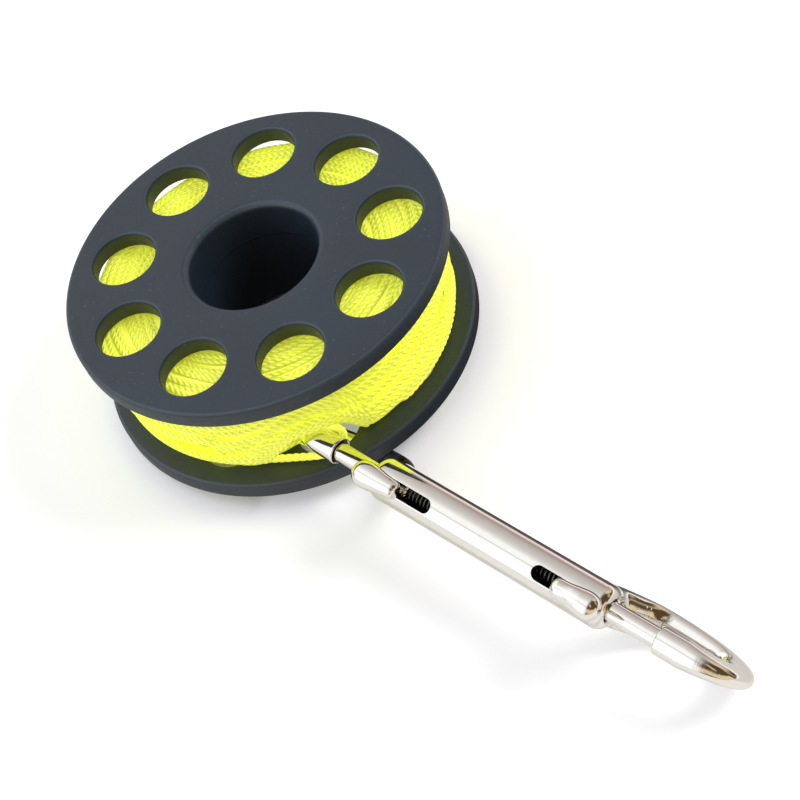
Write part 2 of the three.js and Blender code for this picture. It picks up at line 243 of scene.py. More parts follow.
def finish_piece(thing, body, finish, replaced=()):
    """Gives a piece its finish, the solids it stands for, and what it rides on."""
    thing.data.materials.clear()
    thing.data.materials.append(finish)
    if replaced:
        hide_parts(*replaced)
    if body:
        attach(thing, body)
    print(thing.name, len(thing.data.vertices), "points")


# %% [markdown]
# ## Paths
# A line and a wire are a section carried along a path. A curve object with a bevel would do it,
# but the braid needs its own sections, and a little frame that is carried along without
# twisting serves both.

# %% Carry a section along a path
def carried_frames(path):
    """A tangent, a side and an up for each point, carried along without twisting."""
    ahead = np.gradient(path, axis=0)
    ahead /= np.linalg.norm(ahead, axis=1, keepdims=True)
    sides = np.empty_like(path)
    side = np.cross(ahead[0], [0.0, 0.0, 1.0])
    for i, along in enumerate(ahead):
        side = side - along * (side @ along)
        side = side / np.linalg.norm(side)
        sides[i] = side
    return ahead, sides, np.cross(ahead, sides)


def tube_rings(path, frames, radius, sides):
    """Rings of one round tube."""
    cos, sin = circle(sides)
    across = cos[None, :, None] * frames[1][:, None]
    up = sin[None, :, None] * frames[2][:, None]
    return path[:, None] + radius * (across + up)


def lengths_along(path):
    steps = np.linalg.norm(np.diff(path, axis=0), axis=1)
    return np.concatenate([[0.0], np.cumsum(steps)])


def spaced(path, step):
    """The same path with its points about a step apart."""
    run = lengths_along(path)
    count = max(2, int(round(run[-1] / step)) + 1)
    at = np.linspace(0, run[-1], count)
    return np.stack([np.interp(at, run, path[:, k]) for k in range(3)], axis=1)


print("paths ready")

# %% [markdown]
# ## Smooth curves through chosen points
# A shape that was laid or drawn is a few points here, and the curve through them is
# worked out. A centripetal Catmull-Rom curve goes through every point and makes no loops where
# two of them lie close, which a plain spline may do.

# %% Curve through points
def between(a, b, start, end, t):
    return a + (b - a) * ((t - start) / (end - start))[:, None]


def smooth_route(route, per_step=16):
    """A centripetal Catmull-Rom curve through the points of a route."""
    points = np.array(route, float)
    points = np.vstack([2 * points[0] - points[1], points, 2 * points[-1] - points[-2]])
    drawn = []
    for p in zip(points, points[1:], points[2:], points[3:]):
        gaps = [np.linalg.norm(b - a) ** 0.5 for a, b in zip(p, p[1:])]
        knots = np.concatenate([[0.0], np.cumsum(gaps)])
        t = np.linspace(knots[1], knots[2], per_step, endpoint=False)
        first = [between(p[i], p[i + 1], knots[i], knots[i + 1], t) for i in range(3)]
        second = [between(first[i], first[i + 1], knots[i], knots[i + 2], t) for i in range(2)]
        drawn.append(between(second[0], second[1], knots[1], knots[2], t))
    return np.vstack(drawn + [points[-2:-1]])


def eased(share):
    """From 0 to 1 without a kink at either end."""
    share = np.clip(share, 0, 1)
    return share * share * (3 - 2 * share)


print("half way eased is", float(eased(0.5)))

# %% [markdown]
# ## Maths in the shaders
# A finish is a small program: noise, thresholds and mixes. Written as node calls it is hard to
# read, so a Value wraps a socket and turns sums and products into Math nodes.

# %% A value that reads as maths
class Value:
    """A socket that sums and products read as maths."""

    def __init__(self, finish, socket):
        self.finish = finish
        self.socket = socket

    def maths(self, operation, *values):
        inputs = dict(enumerate(values))
        return self.finish.node("ShaderNodeMath", {"operation": operation}, inputs)

    def __add__(self, other):
        return self.maths("ADD", self, other)

    def __radd__(self, other):
        return self.maths("ADD", other, self)

    def __sub__(self, other):
        return self.maths("SUBTRACT", self, other)

    def __rsub__(self, other):
        return self.maths("SUBTRACT", other, self)

    def __mul__(self, other):
        return self.maths("MULTIPLY", self, other)

    def __rmul__(self, other):
        return self.maths("MULTIPLY", other, self)

    def cosine(self):
        return self.maths("COSINE", self)

    def larger(self, other):
        return self.maths("MAXIMUM", self, other)

    def rounded(self):
        return self.maths("ROUND", self)


print("values ready")

# %% [markdown]
# ## A finish
# Every finish here is one Principled shader. Numbers that are the same all over are set on its
# sockets, and what varies is linked. Finish.node makes any other node from its type, its
# settings and what goes into its sockets, and the short methods after it name the few nodes
# that come back again and again.

# %% A material with one shader
class Finish:
    """A material with one Principled shader."""

    def __init__(self, name, **constants):
        self.material = bpy.data.materials.new(name)
        self.material.use_nodes = True
        self.tree = self.material.node_tree
        self.shader = self.tree.nodes["Principled BSDF"]
        self.set(**constants)

    def set(self, **inputs):
        for name, value in inputs.items():
            self.join(self.shader.inputs[name.replace("_", " ")], value)

    def join(self, socket, value):
        if isinstance(value, Value):
            self.tree.links.new(value.socket, socket)
        else:
            socket.default_value = value

    def node(self, kind, settings=None, inputs=None, out=0):
        node = self.tree.nodes.new(kind)
        for name, value in (settings or {}).items():
            if name == "stops":
                ramp = node.color_ramp.elements
                for i, (place, color) in enumerate(value):
                    stop = ramp[i] if i < 2 else ramp.new(place)
                    stop.position = place
                    stop.color = color
            else:
                setattr(node, name, value)
        for name, value in (inputs or {}).items():
            self.join(node.inputs[name], value)
        return None if out is None else Value(self, node.outputs[out])

    def place(self):
        return self.node("ShaderNodeTexCoord", out="Object")

    def part(self, vector, axis):
        return self.node("ShaderNodeSeparateXYZ", {}, {0: vector}, out=axis)

    def mesh_value(self, name):
        return self.node("ShaderNodeAttribute", {"attribute_name": name}, out="Fac")

    def ray(self, kind):
        return self.node("ShaderNodeLightPath", out=f"Is {kind} Ray")

    def stretched(self, where, factors):
        return self.node("ShaderNodeVectorMath", {"operation": "MULTIPLY"}, {0: where, 1: factors})

    def noise(self, scale, detail=2.0, roughness=0.5, where=None):
        where = where or self.place()
        inputs = {"Vector": where, "Scale": scale, "Detail": detail, "Roughness": roughness}
        return self.node("ShaderNodeTexNoise", {}, inputs)

    def mix(self, share, first, second):
        inputs = {0: share, 6: first, 7: second}
        return self.node("ShaderNodeMix", {"data_type": "RGBA"}, inputs, out=2)

    def step_between(self, value, low, high):
        settings = {"interpolation_type": "SMOOTHSTEP"}
        inputs = {"Value": value, "From Min": low, "From Max": high}
        return self.node("ShaderNodeMapRange", settings, inputs)

    def bump(self, height, depth, strength=1.0, under=None):
        inputs = {"Height": height, "Distance": depth, "Strength": strength}
        if under is not None:
            inputs["Normal"] = under
        return self.node("ShaderNodeBump", {}, inputs)


def rgb(red, green, blue):
    return (red, green, blue, 1.0)


print("finishes ready")

# %% [markdown]
# ## The line's finish
# Cave line is braided nylon in a fluorescent yellow. Eight yarns cross at about 40 degrees,
# two over and two under. On the free bight each yarn is a solid of its own. On the winding the
# crossings are a millimetre apart, so there the same pattern is worked out from a map that runs
# round and along each turn, raises the surface, and darkens the dips between the yarns with
# painted shade. Dye that glows under daylight gives back more light than a white would. A little
# emission stands for that, and as a painted glow it also brightens the line.

# %% The yellow braid
yarns_each_way = 4
braid_pitch = 6.6
line_diameter = 1.8
line_radius = line_diameter / 2
painted_line_glow = 0.36
line_yellow = rgb(0.93, 0.99, 0.08)
line_pale = rgb(0.98, 1.0, 0.16)
painted_line_shade = rgb(0.66, 0.80, 0.03)
yarn_level = 0.62
yarn_swing = 0.38
fibre_depth = 0.05 * mm
braid_depth = 0.36 * mm


def braided_height(finish):
    """How high the yarn on top stands, from 0 to 1."""
    both = finish.node("ShaderNodeUVMap", {"uv_map": "braid"})
    across, along = finish.part(both, "X"), finish.part(both, "Y")
    left = (across + along) * yarns_each_way
    right = (across - along) * yarns_each_way
    heights = []
    for own, other, sign in ((left, right, 1), (right, left, -1)):
        number = own.rounded()
        ridge = ((own - number) * math.pi).cosine()
        weave = ((number + other - 0.5) * (math.pi / 2)).cosine()
        heights.append(ridge * (yarn_level + sign * yarn_swing * weave))
    return heights[0].larger(heights[1])


def yellow_braid(name, woven):
    finish = Finish(name, Roughness=0.62, Specular_IOR_Level=0.35, Sheen_Weight=0.25)
    soft = finish.step_between(finish.noise(420, 3.0), 0.3, 0.75)
    patches = finish.step_between(finish.noise(55, 2.0), 0.35, 0.7)
    color = finish.mix(patches * 0.5 + soft * 0.5, line_yellow, line_pale)
    bump = finish.bump(finish.noise(2600, 2.0), fibre_depth, 0.5)
    if woven:
        height = braided_height(finish)
        # painted shade: the dips between the yarns are darkened toward a shade colour
        shaded_hollow = 1 - finish.step_between(height, 0.3, 0.8)
        color = finish.mix(shaded_hollow * 0.7, color, painted_line_shade)
        bump = finish.bump(height, braid_depth, under=bump)
    finish.set(Base_Color=color, Normal=bump)
    # painted glow: emission brightens the line beyond what the lamps give, standing partly for the
    # dye's fluorescence
    finish.set(Emission_Color=color, Emission_Strength=painted_line_glow)
    return finish.material


wound_yellow = yellow_braid("wound_line_yellow", woven=True)
yarn_yellow = yellow_braid("yarn_yellow", woven=False)
print("line diameter", line_diameter, "mm")

# %% [markdown]
# ## A braided cord
# Where a single line shows up close, each of its eight yarns is swept along the route on its
# own screw, and the over-and-under of the braid is a small wave in its distance from the
# middle. A smooth tube with a bump would look alike from afar, but its outline would stay
# straight where the real one is knobbly. A plain heart fills the middle.

# %% Braid a cord
yarn_sides = 8
yarn_step = 0.25
yarn_wave = 0.13
yarn_half_thickness = 0.24
yarn_half_width = 0.5
yarn_middle = line_radius - yarn_wave - yarn_half_thickness
heart_sides = 12


def yarn_rings(path, frames, way, yarn):
    """One flattened yarn of the braid, as rings of points."""
    ahead, side, up = frames
    run = lengths_along(path)
    turns = yarn / yarns_each_way + way * run / braid_pitch
    crossing = 2 * yarns_each_way * run / braid_pitch
    phase = (2 * yarn + way * crossing - 0.5) * math.pi / 2
    middle = yarn_middle + way * yarn_wave * np.cos(phase)
    outward = np.cos(tau * turns)[:, None] * side + np.sin(tau * turns)[:, None] * up
    around = np.cross(ahead, outward)
    centre = path + outward * middle[:, None]
    cos, sin = circle(yarn_sides)
    wide = yarn_half_width * cos[None, :, None] * around[:, None, :]
    thick = yarn_half_thickness * sin[None, :, None] * outward[:, None, :]
    return centre[:, None, :] + wide + thick


def braided_cord(name, path):
    frames = carried_frames(path)
    yarn_faces = ring_faces(len(path), yarn_sides)
    parts = [
        (yarn_rings(path, frames, way, yarn), yarn_faces)
        for way, yarn in product((1, -1), range(yarns_each_way))
    ]
    heart = tube_rings(path, frames, yarn_middle - yarn_wave, heart_sides)
    parts.append((heart, ring_faces(len(path), heart_sides)))
    return solid(name, spool_place, *joined(parts))


print("yarns lie", round(yarn_middle, 2), "mm off the cord's middle")

# %% [markdown]
# ## The free bight
# The end of the winding leaves the bottom of the spool, passes under the snap's nose, goes up
# round it and dives back into the winding, so that the line can't run off. It is short and
# lies snugly, so the points of its route are listed one by one.

# %% Lay the bight
bight_route = [
    [16.8, -34.6, 5.7], [19, -33.6, 5.7], [23.1, -31, 5.7], [26.4, -28.9, 5.7],
    [29.5, -26.8, 5.7], [31.9, -25.2, 5.75], [33.6, -23.9, 5.75], [34.9, -22.4, 5.8],
    [35.85, -20.65, 6.35], [36.45, -19.2, 7.75], [36.75, -18.55, 9.65], [36.85, -18.9, 11.65],
    [36.55, -19.53, 12.76], [35.74, -20.32, 13.62], [34.57, -21.09, 14.09],
    [33.28, -21.9, 14.2], [31.9, -22.7, 14.2], [30.5, -23.4, 14.15],
    [29.1, -24.05, 14.05], [27.7, -24.65, 13.9],
]
bight_line = spaced(smooth_route(bight_route), yarn_step)
bight = braided_cord("free_bight", bight_line)
bight_path = spool_place.out(bight_line)
finish_piece(bight, None, yarn_yellow, ["line_bight"])
wound_side = spool_place.out([29.0, -26.9, 10])
nose_side = spool_place.out([37.7, -18.6, 10])
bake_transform(bight)

# %% [markdown]
# ## One sector of a flange
# Each half of the spool is a moulded flange with nine holes and its part of the hub. A boolean
# would cut the holes, but leaves long thin faces whose shading shows, and its edges are hard.
# So the flange is drawn in nine equal sectors: rings run from a sector's border to the hole,
# over a small round edge, down its wall and back underneath. Every edge is a real round, which
# is what makes a moulded part catch the light. The finish is lighter and smoother on the rounds.

# %% Draw a sector round its hole
flange_radius = 45
flange_thickness = 4.5
flange_spacing = 22
bore_radius = 15.2
hub_wall = 2.6
hub_radius = bore_radius + hub_wall
hole_count = 9
hole_radius = 7.6
hole_round = 0.75
hole_outset = 0.9
hole_pitch = (hub_radius + flange_radius) / 2 + hole_outset
first_hole = math.radians(-31)
band_inner = 21.6
band_outer = 43.0
arc_steps = 24
side_steps = 12
round_steps = 5
flat_shares = [0.0, 0.3, 0.6, 0.85]
hole_edge_share = [0.35, 1, 1, 0.35, 0.35, 0.35, 0.35, 0.35, 0.35, 1, 1, 0.35]


def quarter(centre_radius, centre_height, radius, start, end, steps=round_steps):
    """Points of a round edge, as radius and height, from one angle in degrees to another."""
    angles = np.radians(np.linspace(start, end, steps + 1))
    across, up = radius * np.cos(angles), radius * np.sin(angles)
    return np.stack([centre_radius + across, centre_height + up], axis=1)


def sector_border():
    """The border of one sector about its hole, from the inner left corner all the way round."""
    half = math.pi / hole_count
    out = np.linspace(-half, half, arc_steps + 1)
    radii = np.linspace(band_inner, band_outer, side_steps + 1)
    inner = [(band_inner, a) for a in out[::-1][:-1]]
    right = [(r, -half) for r in radii[:-1]]
    outer = [(band_outer, a) for a in out[:-1]]
    left = [(r, half) for r in radii[::-1][:-1]]
    radius, angle = np.array(inner + right + outer + left).T
    return around_z(radius, angle, 0.0)


def sector_part(turn):
    """One sector's skin: top, round edge, wall, round edge and underside. Then its edge shares."""
    border = sector_border()
    hole = np.array([hole_pitch, 0, 0])
    angles = np.arctan2(border[:, 1], border[:, 0] - hole_pitch)
    toward = around_z(1.0, angles, 0.0)
    edge = hole_radius + hole_round
    rounds = [
        *quarter(edge, flange_thickness - hole_round, hole_round, 90, 180),
        *quarter(edge, hole_round, hole_round, 180, 270),
    ]
    steps = [(share, edge, flange_thickness, 0.0) for share in flat_shares]
    steps += [(1.0, *point, edge_share) for point, edge_share in zip(rounds, hole_edge_share)]
    steps += [(share, edge, 0.0, 0.0) for share in flat_shares[::-1]]
    rings = []
    for share, radius, height, _ in steps:
        ring = border * (1 - share) + share * (hole + radius * toward)
        ring[:, 2] = height
        rings.append(ring)
    skin = np.array(rings)
    x = skin[..., 0] * math.cos(turn) - skin[..., 1] * math.sin(turn)
    y = skin[..., 0] * math.sin(turn) + skin[..., 1] * math.cos(turn)
    edge_share = np.repeat([step[3] for step in steps], len(border))
    faces = ring_faces(len(rings), len(border), closed_ends=False)
    return points_of(x, y, skin[..., 2]), faces, edge_share


print("each sector spans", round(360 / hole_count), "degrees")

# %% [markdown]
# ## Rim, hub and bore
# Outside and inside the band of sectors, plain turned rings run over the rim, down the hub and
# up the bore. The two halves meet inside the hub, where the lower half's spigot goes into the
# upper half, with a hair's breadth between them. But for that joint, the upper half is the same
# thing upside down.

# %% Turn the rest and join a half
rim_round = 0.8
bore_round = 1.9
spigot_length = 5
seam = 0.3
spool_height = 2 * flange_thickness + flange_spacing
rim_edge_share = [0.5, 1.0, 1.0, 0.8, 0.4, 0.2]
lip_edge_share = [0, 0.3, 0.6, 1, 1, 1, 0.8, 0.4, 0.1]
weld_distance = 0.002 * mm


def turned_part(profile, edge_share):
    """A profile of radius and height turned round the axis, with no caps."""
    count = hole_count * arc_steps
    angles = first_hole - math.pi / hole_count + np.arange(count) * tau / count
    points = around_z(profile[:, :1], angles, profile[:, 1:])
    return points, ring_faces(len(profile), count, closed_ends=False), np.repeat(edge_share, count)


def rim_profile():
    """Over the rim, from the top of the flange to its underside."""
    rim = flange_radius - rim_round
    over = quarter(rim, flange_thickness - rim_round, rim_round, 90, 0)
    under = quarter(rim, rim_round, rim_round, 0, -90)
    points = np.vstack([[(band_outer, flange_thickness)], over, under, [(band_outer, 0)]])
    return points, [0.0, *rim_edge_share, *rim_edge_share[::-1], 0.0]


def hub_profile(spigot):
    """Down the hub and back up the bore. Height 0 is the flange's outer face."""
    joint = spool_height / 2
    shoulder = joint - seam / 2
    middle = bore_radius + (hub_wall - seam) / 2
    step = middle if spigot else middle + seam
    tip = joint + spigot_length if spigot else joint - spigot_length - seam
    end = [(hub_radius, shoulder), (step, shoulder), (step, tip), (bore_radius, tip)]
    corner = quarter(hub_radius + rim_round, flange_thickness + rim_round, rim_round, 270, 180)
    lip = quarter(bore_radius + bore_round, bore_round, bore_round, 180, 270, len(lip_edge_share) - 1)
    points = np.vstack([[(band_inner, flange_thickness)], corner, end, lip, [(band_inner, 0)]])
    return points, [0.0] * (1 + len(corner) + len(end)) + lip_edge_share + [0.0]


def spool_half(name, upper):
    parts = [turned_part(*rim_profile()), turned_part(*hub_profile(spigot=not upper))]
    parts += [sector_part(first_hole + i * tau / hole_count) for i in range(hole_count)]
    points, faces = joined([part[:2] for part in parts])
    if upper:
        points[:, 2] = spool_height - points[:, 2]
    half = make_mesh(name, spool_place.out(points), faces)
    set_value(half, "edge_share", np.concatenate([part[2] for part in parts]))
    turn_outward(half, weld=weld_distance)
    half.data.set_sharp_from_angle(angle=math.radians(50))
    return half


print("spool is", spool_height, "mm high")

# %% [markdown]
# ## Satin black plastic
# The spool is moulded in a black that is really a very dark slate, and its finely etched face
# scatters a pale bluish sheen. Handling has left hair scratches and specks of dust. The rim and
# the holes' edges are lighter, bluer and smoother, by a value that the mesh carries on its
# rounds, because a shader can't see an edge by itself once it is exported.

# %% The plastic
def satin_black():
    finish = Finish("satin_black_plastic", Specular_IOR_Level=0.55)
    edge_share = finish.mesh_value("edge_share")
    cloud = finish.noise(38, 3.0)
    grain = finish.noise(3200, 1.0)
    scuffs = finish.noise(700, 5.0, 0.7)
    streak = finish.noise(90, 6.0, 0.75, finish.stretched(finish.place(), (1.0, 9.0, 3.0)))
    hair = finish.step_between(streak, 0.66, 0.72)
    dust = finish.step_between(finish.noise(1500, 1.0), 0.735, 0.76)
    # the rounds and some scuffs are made lighter, bluer and smoother
    lighter_edges = finish.step_between(edge_share * 0.75 + scuffs * 0.5, 0.62, 1.02)
    tone = finish.mix(cloud, rgb(0.012, 0.021, 0.034), rgb(0.020, 0.033, 0.050))
    tone = finish.mix(lighter_edges * 0.5, tone, rgb(0.055, 0.08, 0.11))
    tone = finish.mix(hair * 0.12, tone, rgb(0.12, 0.13, 0.15))
    tone = finish.mix(dust * 0.2, tone, rgb(0.25, 0.26, 0.27))
    rough = 0.40 + scuffs * 0.16 - lighter_edges * 0.1 + hair * 0.1
    bump = finish.bump(grain, 0.025 * mm, 0.35)
    bump = finish.bump(cloud, 0.12 * mm, 0.3, under=bump)
    finish.set(Base_Color=tone, Roughness=rough, Normal=bump)
    return finish.material


plastic = satin_black()
for half, upper in (("lower", False), ("upper", True)):
    piece = spool_half(f"{half}_spool_half", upper)
    finish_piece(piece, "spool", plastic, [f"{half}_flange"])

# %% [markdown]
# ## The hook's line
# The snap is cast in one piece: a barrel, and at each end an arm that leaves it, turns back and
# ends in a nose. The hook is drawn first as a line in the snap's own plane, with the half width
# and half depth of its section at each station: a few chosen stations for the flat arm, a half
# round bend that swells a little, and a straight nose. A bevelled curve could follow such a
# line too, but it couldn't melt into the barrel.

# %% Draw the line of the hook
barrel_length = 62
gate_back = barrel_length / 2 - 9
nose_face = barrel_length / 2 + 11.5
bend_centre = nose_face + 6
nose_radius = 3.05
arm_offset = 14.4
arm_half_width = 4
arm_half_thickness = 1.75
bend_half_width = 2.1
bend_swell = 1.0
bend_steps = 60
arm_steps = 10
nose_steps = 12
arm_shares = [
    [0, 0.09, 0.9, 1.4], [0.14, 0.2, 1.04, 1.7], [0.29, 0.5, 1.05, 1.5],
    [0.43, 0.83, 0.98, 1.2], [0.57, 0.98, 0.92, 1], [0.79, 1, 0.86, 0.95], [1, 1, 0.76, 1],
]


def arm_stations():
    """The arm from the barrel to the bend: x, z, half width and half depth."""
    shares = np.array(arm_shares)
    reach = bend_centre - gate_back
    return np.column_stack([
        gate_back + shares[:, 0] * reach, -shares[:, 1] * arm_offset,
        shares[:, 2] * arm_half_width, shares[:, 3] * arm_half_thickness,
    ])


def bend_stations(arm_width):
    """Half round from the arm to the nose."""
    radius = arm_offset / 2
    share = np.arange(1, bend_steps) / bend_steps
    angle = math.pi * share
    waist = np.sin(angle)
    swell = bend_swell * waist ** 2
    narrow = np.where(share < 0.5, arm_width, nose_radius)
    return np.column_stack([
        bend_centre + (radius + swell) * waist, -radius - (radius + swell) * np.cos(angle),
        bend_half_width * waist + narrow * (1 - waist),
        arm_half_thickness + (nose_radius - arm_half_thickness) * eased(share) + swell,
    ])


def hook_line():
    """All stations, with a uniform Catmull-Rom curve through those of the arm."""
    arm = arm_stations()
    bend = bend_stations(arm[-1, 2])
    nose_x = np.linspace(bend_centre, nose_face - nose_radius, nose_steps)
    nose = [[x, 0, nose_radius, nose_radius] for x in nose_x]
    knots = np.vstack([2 * arm[0] - arm[1], arm, bend[:2]])
    t = np.linspace(0, 1, arm_steps, endpoint=False)[:, None]
    smooth_arm = [
        0.5 * (
            2 * b + (c - a) * t + (2 * a - 5 * b + 4 * c - d) * t ** 2
            + (3 * b - a - 3 * c + d) * t ** 3
        )
        for a, b, c, d in zip(knots, knots[1:], knots[2:len(arm) + 1], knots[3:])
    ]
    return np.vstack(smooth_arm + [arm[-1:], bend, nose])


hook_stations = hook_line()
print("hook drawn with", len(hook_stations), "stations")

# %% [markdown]
# ## The casting as a field
# Polished plating shows the least kink, and a boolean of tubes is all kinks. So the casting is
# written as a field, a number at each point that is zero on the surface: one term for the
# barrel, one for a hook, and a smooth minimum that melts them together as casting does. Points
# are folded into one hook first, because the second is the first turned half round.

# %% The casting's field
barrel_radius = 4.8
barrel_end_round = 2.4
melt = 2.2
nose_edge = 0.5
oval_power = 2.3
beyond_reach = 40
batch_size = 20000


def nearest_on_hook(some):
    """How far some points lie off the hook's middle, and its section there."""
    a, b = hook_stations[:-1], hook_stations[1:]
    run = b[:, :2] - a[:, :2]
    share = ((some[:, None] - a[None, :, :2]) * run[None]).sum(2) / (run ** 2).sum(1)[None]
    share = np.clip(share, 0, 1)
    off = some[:, None] - (a[None, :, :2] + share[..., None] * run[None])
    far = (off ** 2).sum(2)
    best = far.argmin(1)
    rows = np.arange(len(some))
    s = share[rows, best][:, None]
    return np.column_stack([np.sqrt(far[rows, best]), a[best, 2:] * (1 - s) + b[best, 2:] * s])


def hook_section(x, z):
    """The same for any number of points of the snap's plane, batch by batch."""
    batches = np.array_split(np.stack([x, z], axis=1), max(1, len(x) // batch_size))
    return np.vstack([nearest_on_hook(some) for some in batches]).T


def melted(a, b, reach):
    """The smaller of two fields, with a fillet where they meet."""
    near = np.clip(reach - np.abs(a - b), 0, None) / reach
    return np.minimum(a, b) - near ** 2 * reach / 4


def hook_field(x, y, z, section):
    """An oval section round the hook's line, with the nose cut flat at its face."""
    off, wide, thick = section
    oval = np.abs(off / thick) ** oval_power + np.abs(y / wide) ** oval_power
    scale = oval ** (1 / oval_power) + tiny
    slope = np.sqrt((off / thick ** 2) ** 2 + (y / wide ** 2) ** 2) / scale + tiny
    before_face = nose_face - x - beyond_reach * (z < -arm_offset / 4)
    return -melted(-(scale - 1) / slope, -before_face, nose_edge)


def barrel_field(x, y, z):
    """A cylinder along X with rounded ends."""
    q_round = np.hypot(y, z) - (barrel_radius - barrel_end_round)
    q_long = x - (barrel_length / 2 - barrel_end_round)
    outside = np.hypot(np.clip(q_round, 0, None), np.clip(q_long, 0, None))
    return outside + np.minimum(np.maximum(q_round, q_long), 0) - barrel_end_round


def casting_field(points, section=None):
    """Below zero inside the casting, in the snap's own millimetres."""
    x, y, z = np.abs(points[:, 0]), points[:, 1], points[:, 2]
    section = hook_section(x, z) if section is None else section
    return melted(barrel_field(x, y, z), hook_field(x, y, z, section), melt)


print("field inside the barrel", round(float(casting_field(np.zeros((1, 3)))[0]), 2))

# %% [markdown]
# ## Surface nets
# Surface nets turn a field into a mesh. A grid is laid through the field, each cell that the
# surface crosses gets one point, and the points of the four cells round a crossed grid edge
# make a quad. Marching cubes would do too, but leaves slivers that show in a mirror finish.

# %% Nets over a grid
def along_edges(values, axis, inner=slice(None)):
    """The values at both ends of every grid edge along an axis."""
    first, second = [inner] * 3, [inner] * 3
    first[axis], second[axis] = slice(None, -1), slice(1, None)
    return values[tuple(first)], values[tuple(second)]


def net_points(axes, values):
    """A point for each crossed cell, at the mean of its crossings, and the cells' numbers."""
    cells = tuple(n - 1 for n in values.shape)
    total, count = np.zeros(cells + (3,)), np.zeros(cells)
    for axis in range(3):
        one, two = [k for k in range(3) if k != axis]
        start, end = along_edges(values, axis)
        cross = (start < 0) != (end < 0)
        share = np.where(cross, start / np.where(cross, start - end, 1), 0)
        for i, j in product((0, 1), (0, 1)):
            cut = [slice(None)] * 3
            cut[one], cut[two] = slice(i, i + cells[one]), slice(j, j + cells[two])
            here = cross[tuple(cut)]
            count += here
            total[..., axis] += share[tuple(cut)]
            total[..., one] += here * i
            total[..., two] += here * j
    active = count > 0
    number = np.full(cells, -1)
    number[active] = np.arange(active.sum())
    low = np.array([axis[0] for axis in axes])
    steps = np.array([axis[1] - axis[0] for axis in axes])
    return low + (np.argwhere(active) + total[active] / count[active][:, None]) * steps, number


def net_quads(inside, number):
    """A quad round each grid edge that the surface crosses, facing outward."""
    faces = []
    for axis in range(3):
        one, two = [k for k in range(3) if k != axis]
        start, end = along_edges(inside, axis, slice(1, -1))
        edges = np.argwhere(start != end)
        leaves = start[tuple(edges.T)]
        edges[:, [one, two]] += 1
        corners = []
        for i, j in ((-1, -1), (0, -1), (0, 0), (-1, 0)):
            cell = edges.copy()
            cell[:, one] += i
            cell[:, two] += j
            corners.append(number[tuple(cell.T)])
        quads = np.stack(corners, axis=1)
        flip = leaves if axis == 1 else ~leaves
        quads[flip] = quads[flip][:, ::-1]
        faces.append(quads)
    return np.vstack(faces)


print("nets ready")

# %% [markdown]
# ## Cast the body
# The net's points are slid along the field's slope until they lie on the surface, all but a few
# at the nose's edge, which stay some hundredths of a millimetre off. Plated metal reflects by its
# normals, and points that lie on the surface make the reflections run in one clean line from
# barrel to nose.

# %% Cast the body
net_step = 0.3
net_reach = bend_centre + 14
net_margin = 6.0
slope_step = 0.02
slides = 4
least_slope = 0.05


def field_and_slope(points):
    """The casting's field at each point, and how it grows along each axis."""
    slopes = []
    for nudge in slope_step * np.eye(3):
        grown = casting_field(points + nudge) - casting_field(points - nudge)
        slopes.append(grown / (2 * slope_step))
    return casting_field(points), np.stack(slopes, axis=1)


def field_grid(low, high, step):
    """The field on a grid, layer by layer. All layers share the hook's section."""
    axes = [np.arange(low[k], high[k] + step, step) for k in range(3)]
    x, z = np.meshgrid(axes[0], axes[2], indexing="ij")
    section = hook_section(np.abs(x).ravel(), z.ravel())
    layers = [
        casting_field(points_of(x, y, z).reshape(-1, 3), section).reshape(x.shape)
        for y in axes[1]
    ]
    return axes, np.stack(layers, axis=1)


def cast_body():
    low = [-net_reach, -net_margin, -arm_offset - net_margin]
    high = [net_reach, net_margin, net_margin]
    axes, values = field_grid(low, high, net_step)
    points, number = net_points(axes, values)
    for _ in range(slides):
        here, slope = field_and_slope(points)
        steep = np.maximum((slope ** 2).sum(1), least_slope)
        points = points - slope * (here / steep)[:, None]
    off = float(np.abs(casting_field(points)).max())
    print("casting", len(points), "points, furthest off", round(off, 4))
    return points, net_quads(values < 0, number).tolist()


casting = solid("snap_casting", snap_place, *cast_body())

# %% [markdown]
# ## Bores and slots
# Each end of the barrel is bored for a gate and slotted for its thumb stud, and the nose has a
# shallow socket with a chamfer that the gate's tip closes into. A drill leaves a turned shape, so
# the cutter is a profile turned round X, and the slot is a long hole pulled upward.

# %% Make the cutters
gate_radius = 2.2
gate_travel = 8.9
bore_clear = 0.25
boss_flare = 0.3
mouth_flare = 0.45
socket_depth = 1.0
spring_wire = 0.5
cad_curls = 10
spring_room = (cad_curls + 2) * spring_wire
bore_floor = gate_back - gate_travel - spring_room - 2 * bore_clear
stud_at = barrel_length / 2 - 6.9
neck_radius = 1.4
slot_steps = 24


def along_x(profile, sides=48):
    """A closed solid turned round X, from points of x and radius that end on the axis."""
    profile = np.array(profile, float)
    x, radius = profile[1:-1, :1], profile[1:-1, 1:]
    cos, sin = circle(sides)
    rings = points_of(x, radius * cos, radius * sin).reshape(-1, 3)
    points = np.vstack([rings, [[profile[0, 0], 0, 0], [profile[-1, 0], 0, 0]]])
    faces = ring_faces(len(x), sides, closed_ends=False)
    start, end, last = len(rings), len(rings) + 1, len(rings) - sides
    for s in range(sides):
        t = (s + 1) % sides
        faces += [[start, t, s], [end, last + s, last + t]]
    return points, faces


def bore_cutter():
    radius = gate_radius + bore_clear
    lip = barrel_length / 2
    socket = nose_face + socket_depth
    return along_x([
        (bore_floor, 0), (bore_floor, radius), (lip - boss_flare, radius),
        (lip, radius + boss_flare), (lip + 1, radius + boss_flare), (lip + 1.5, radius),
        (nose_face - 0.8, radius), (nose_face - 0.3, radius + mouth_flare),
        (nose_face, radius + mouth_flare), (nose_face + 0.7, radius), (socket, radius), (socket, 0),
    ])


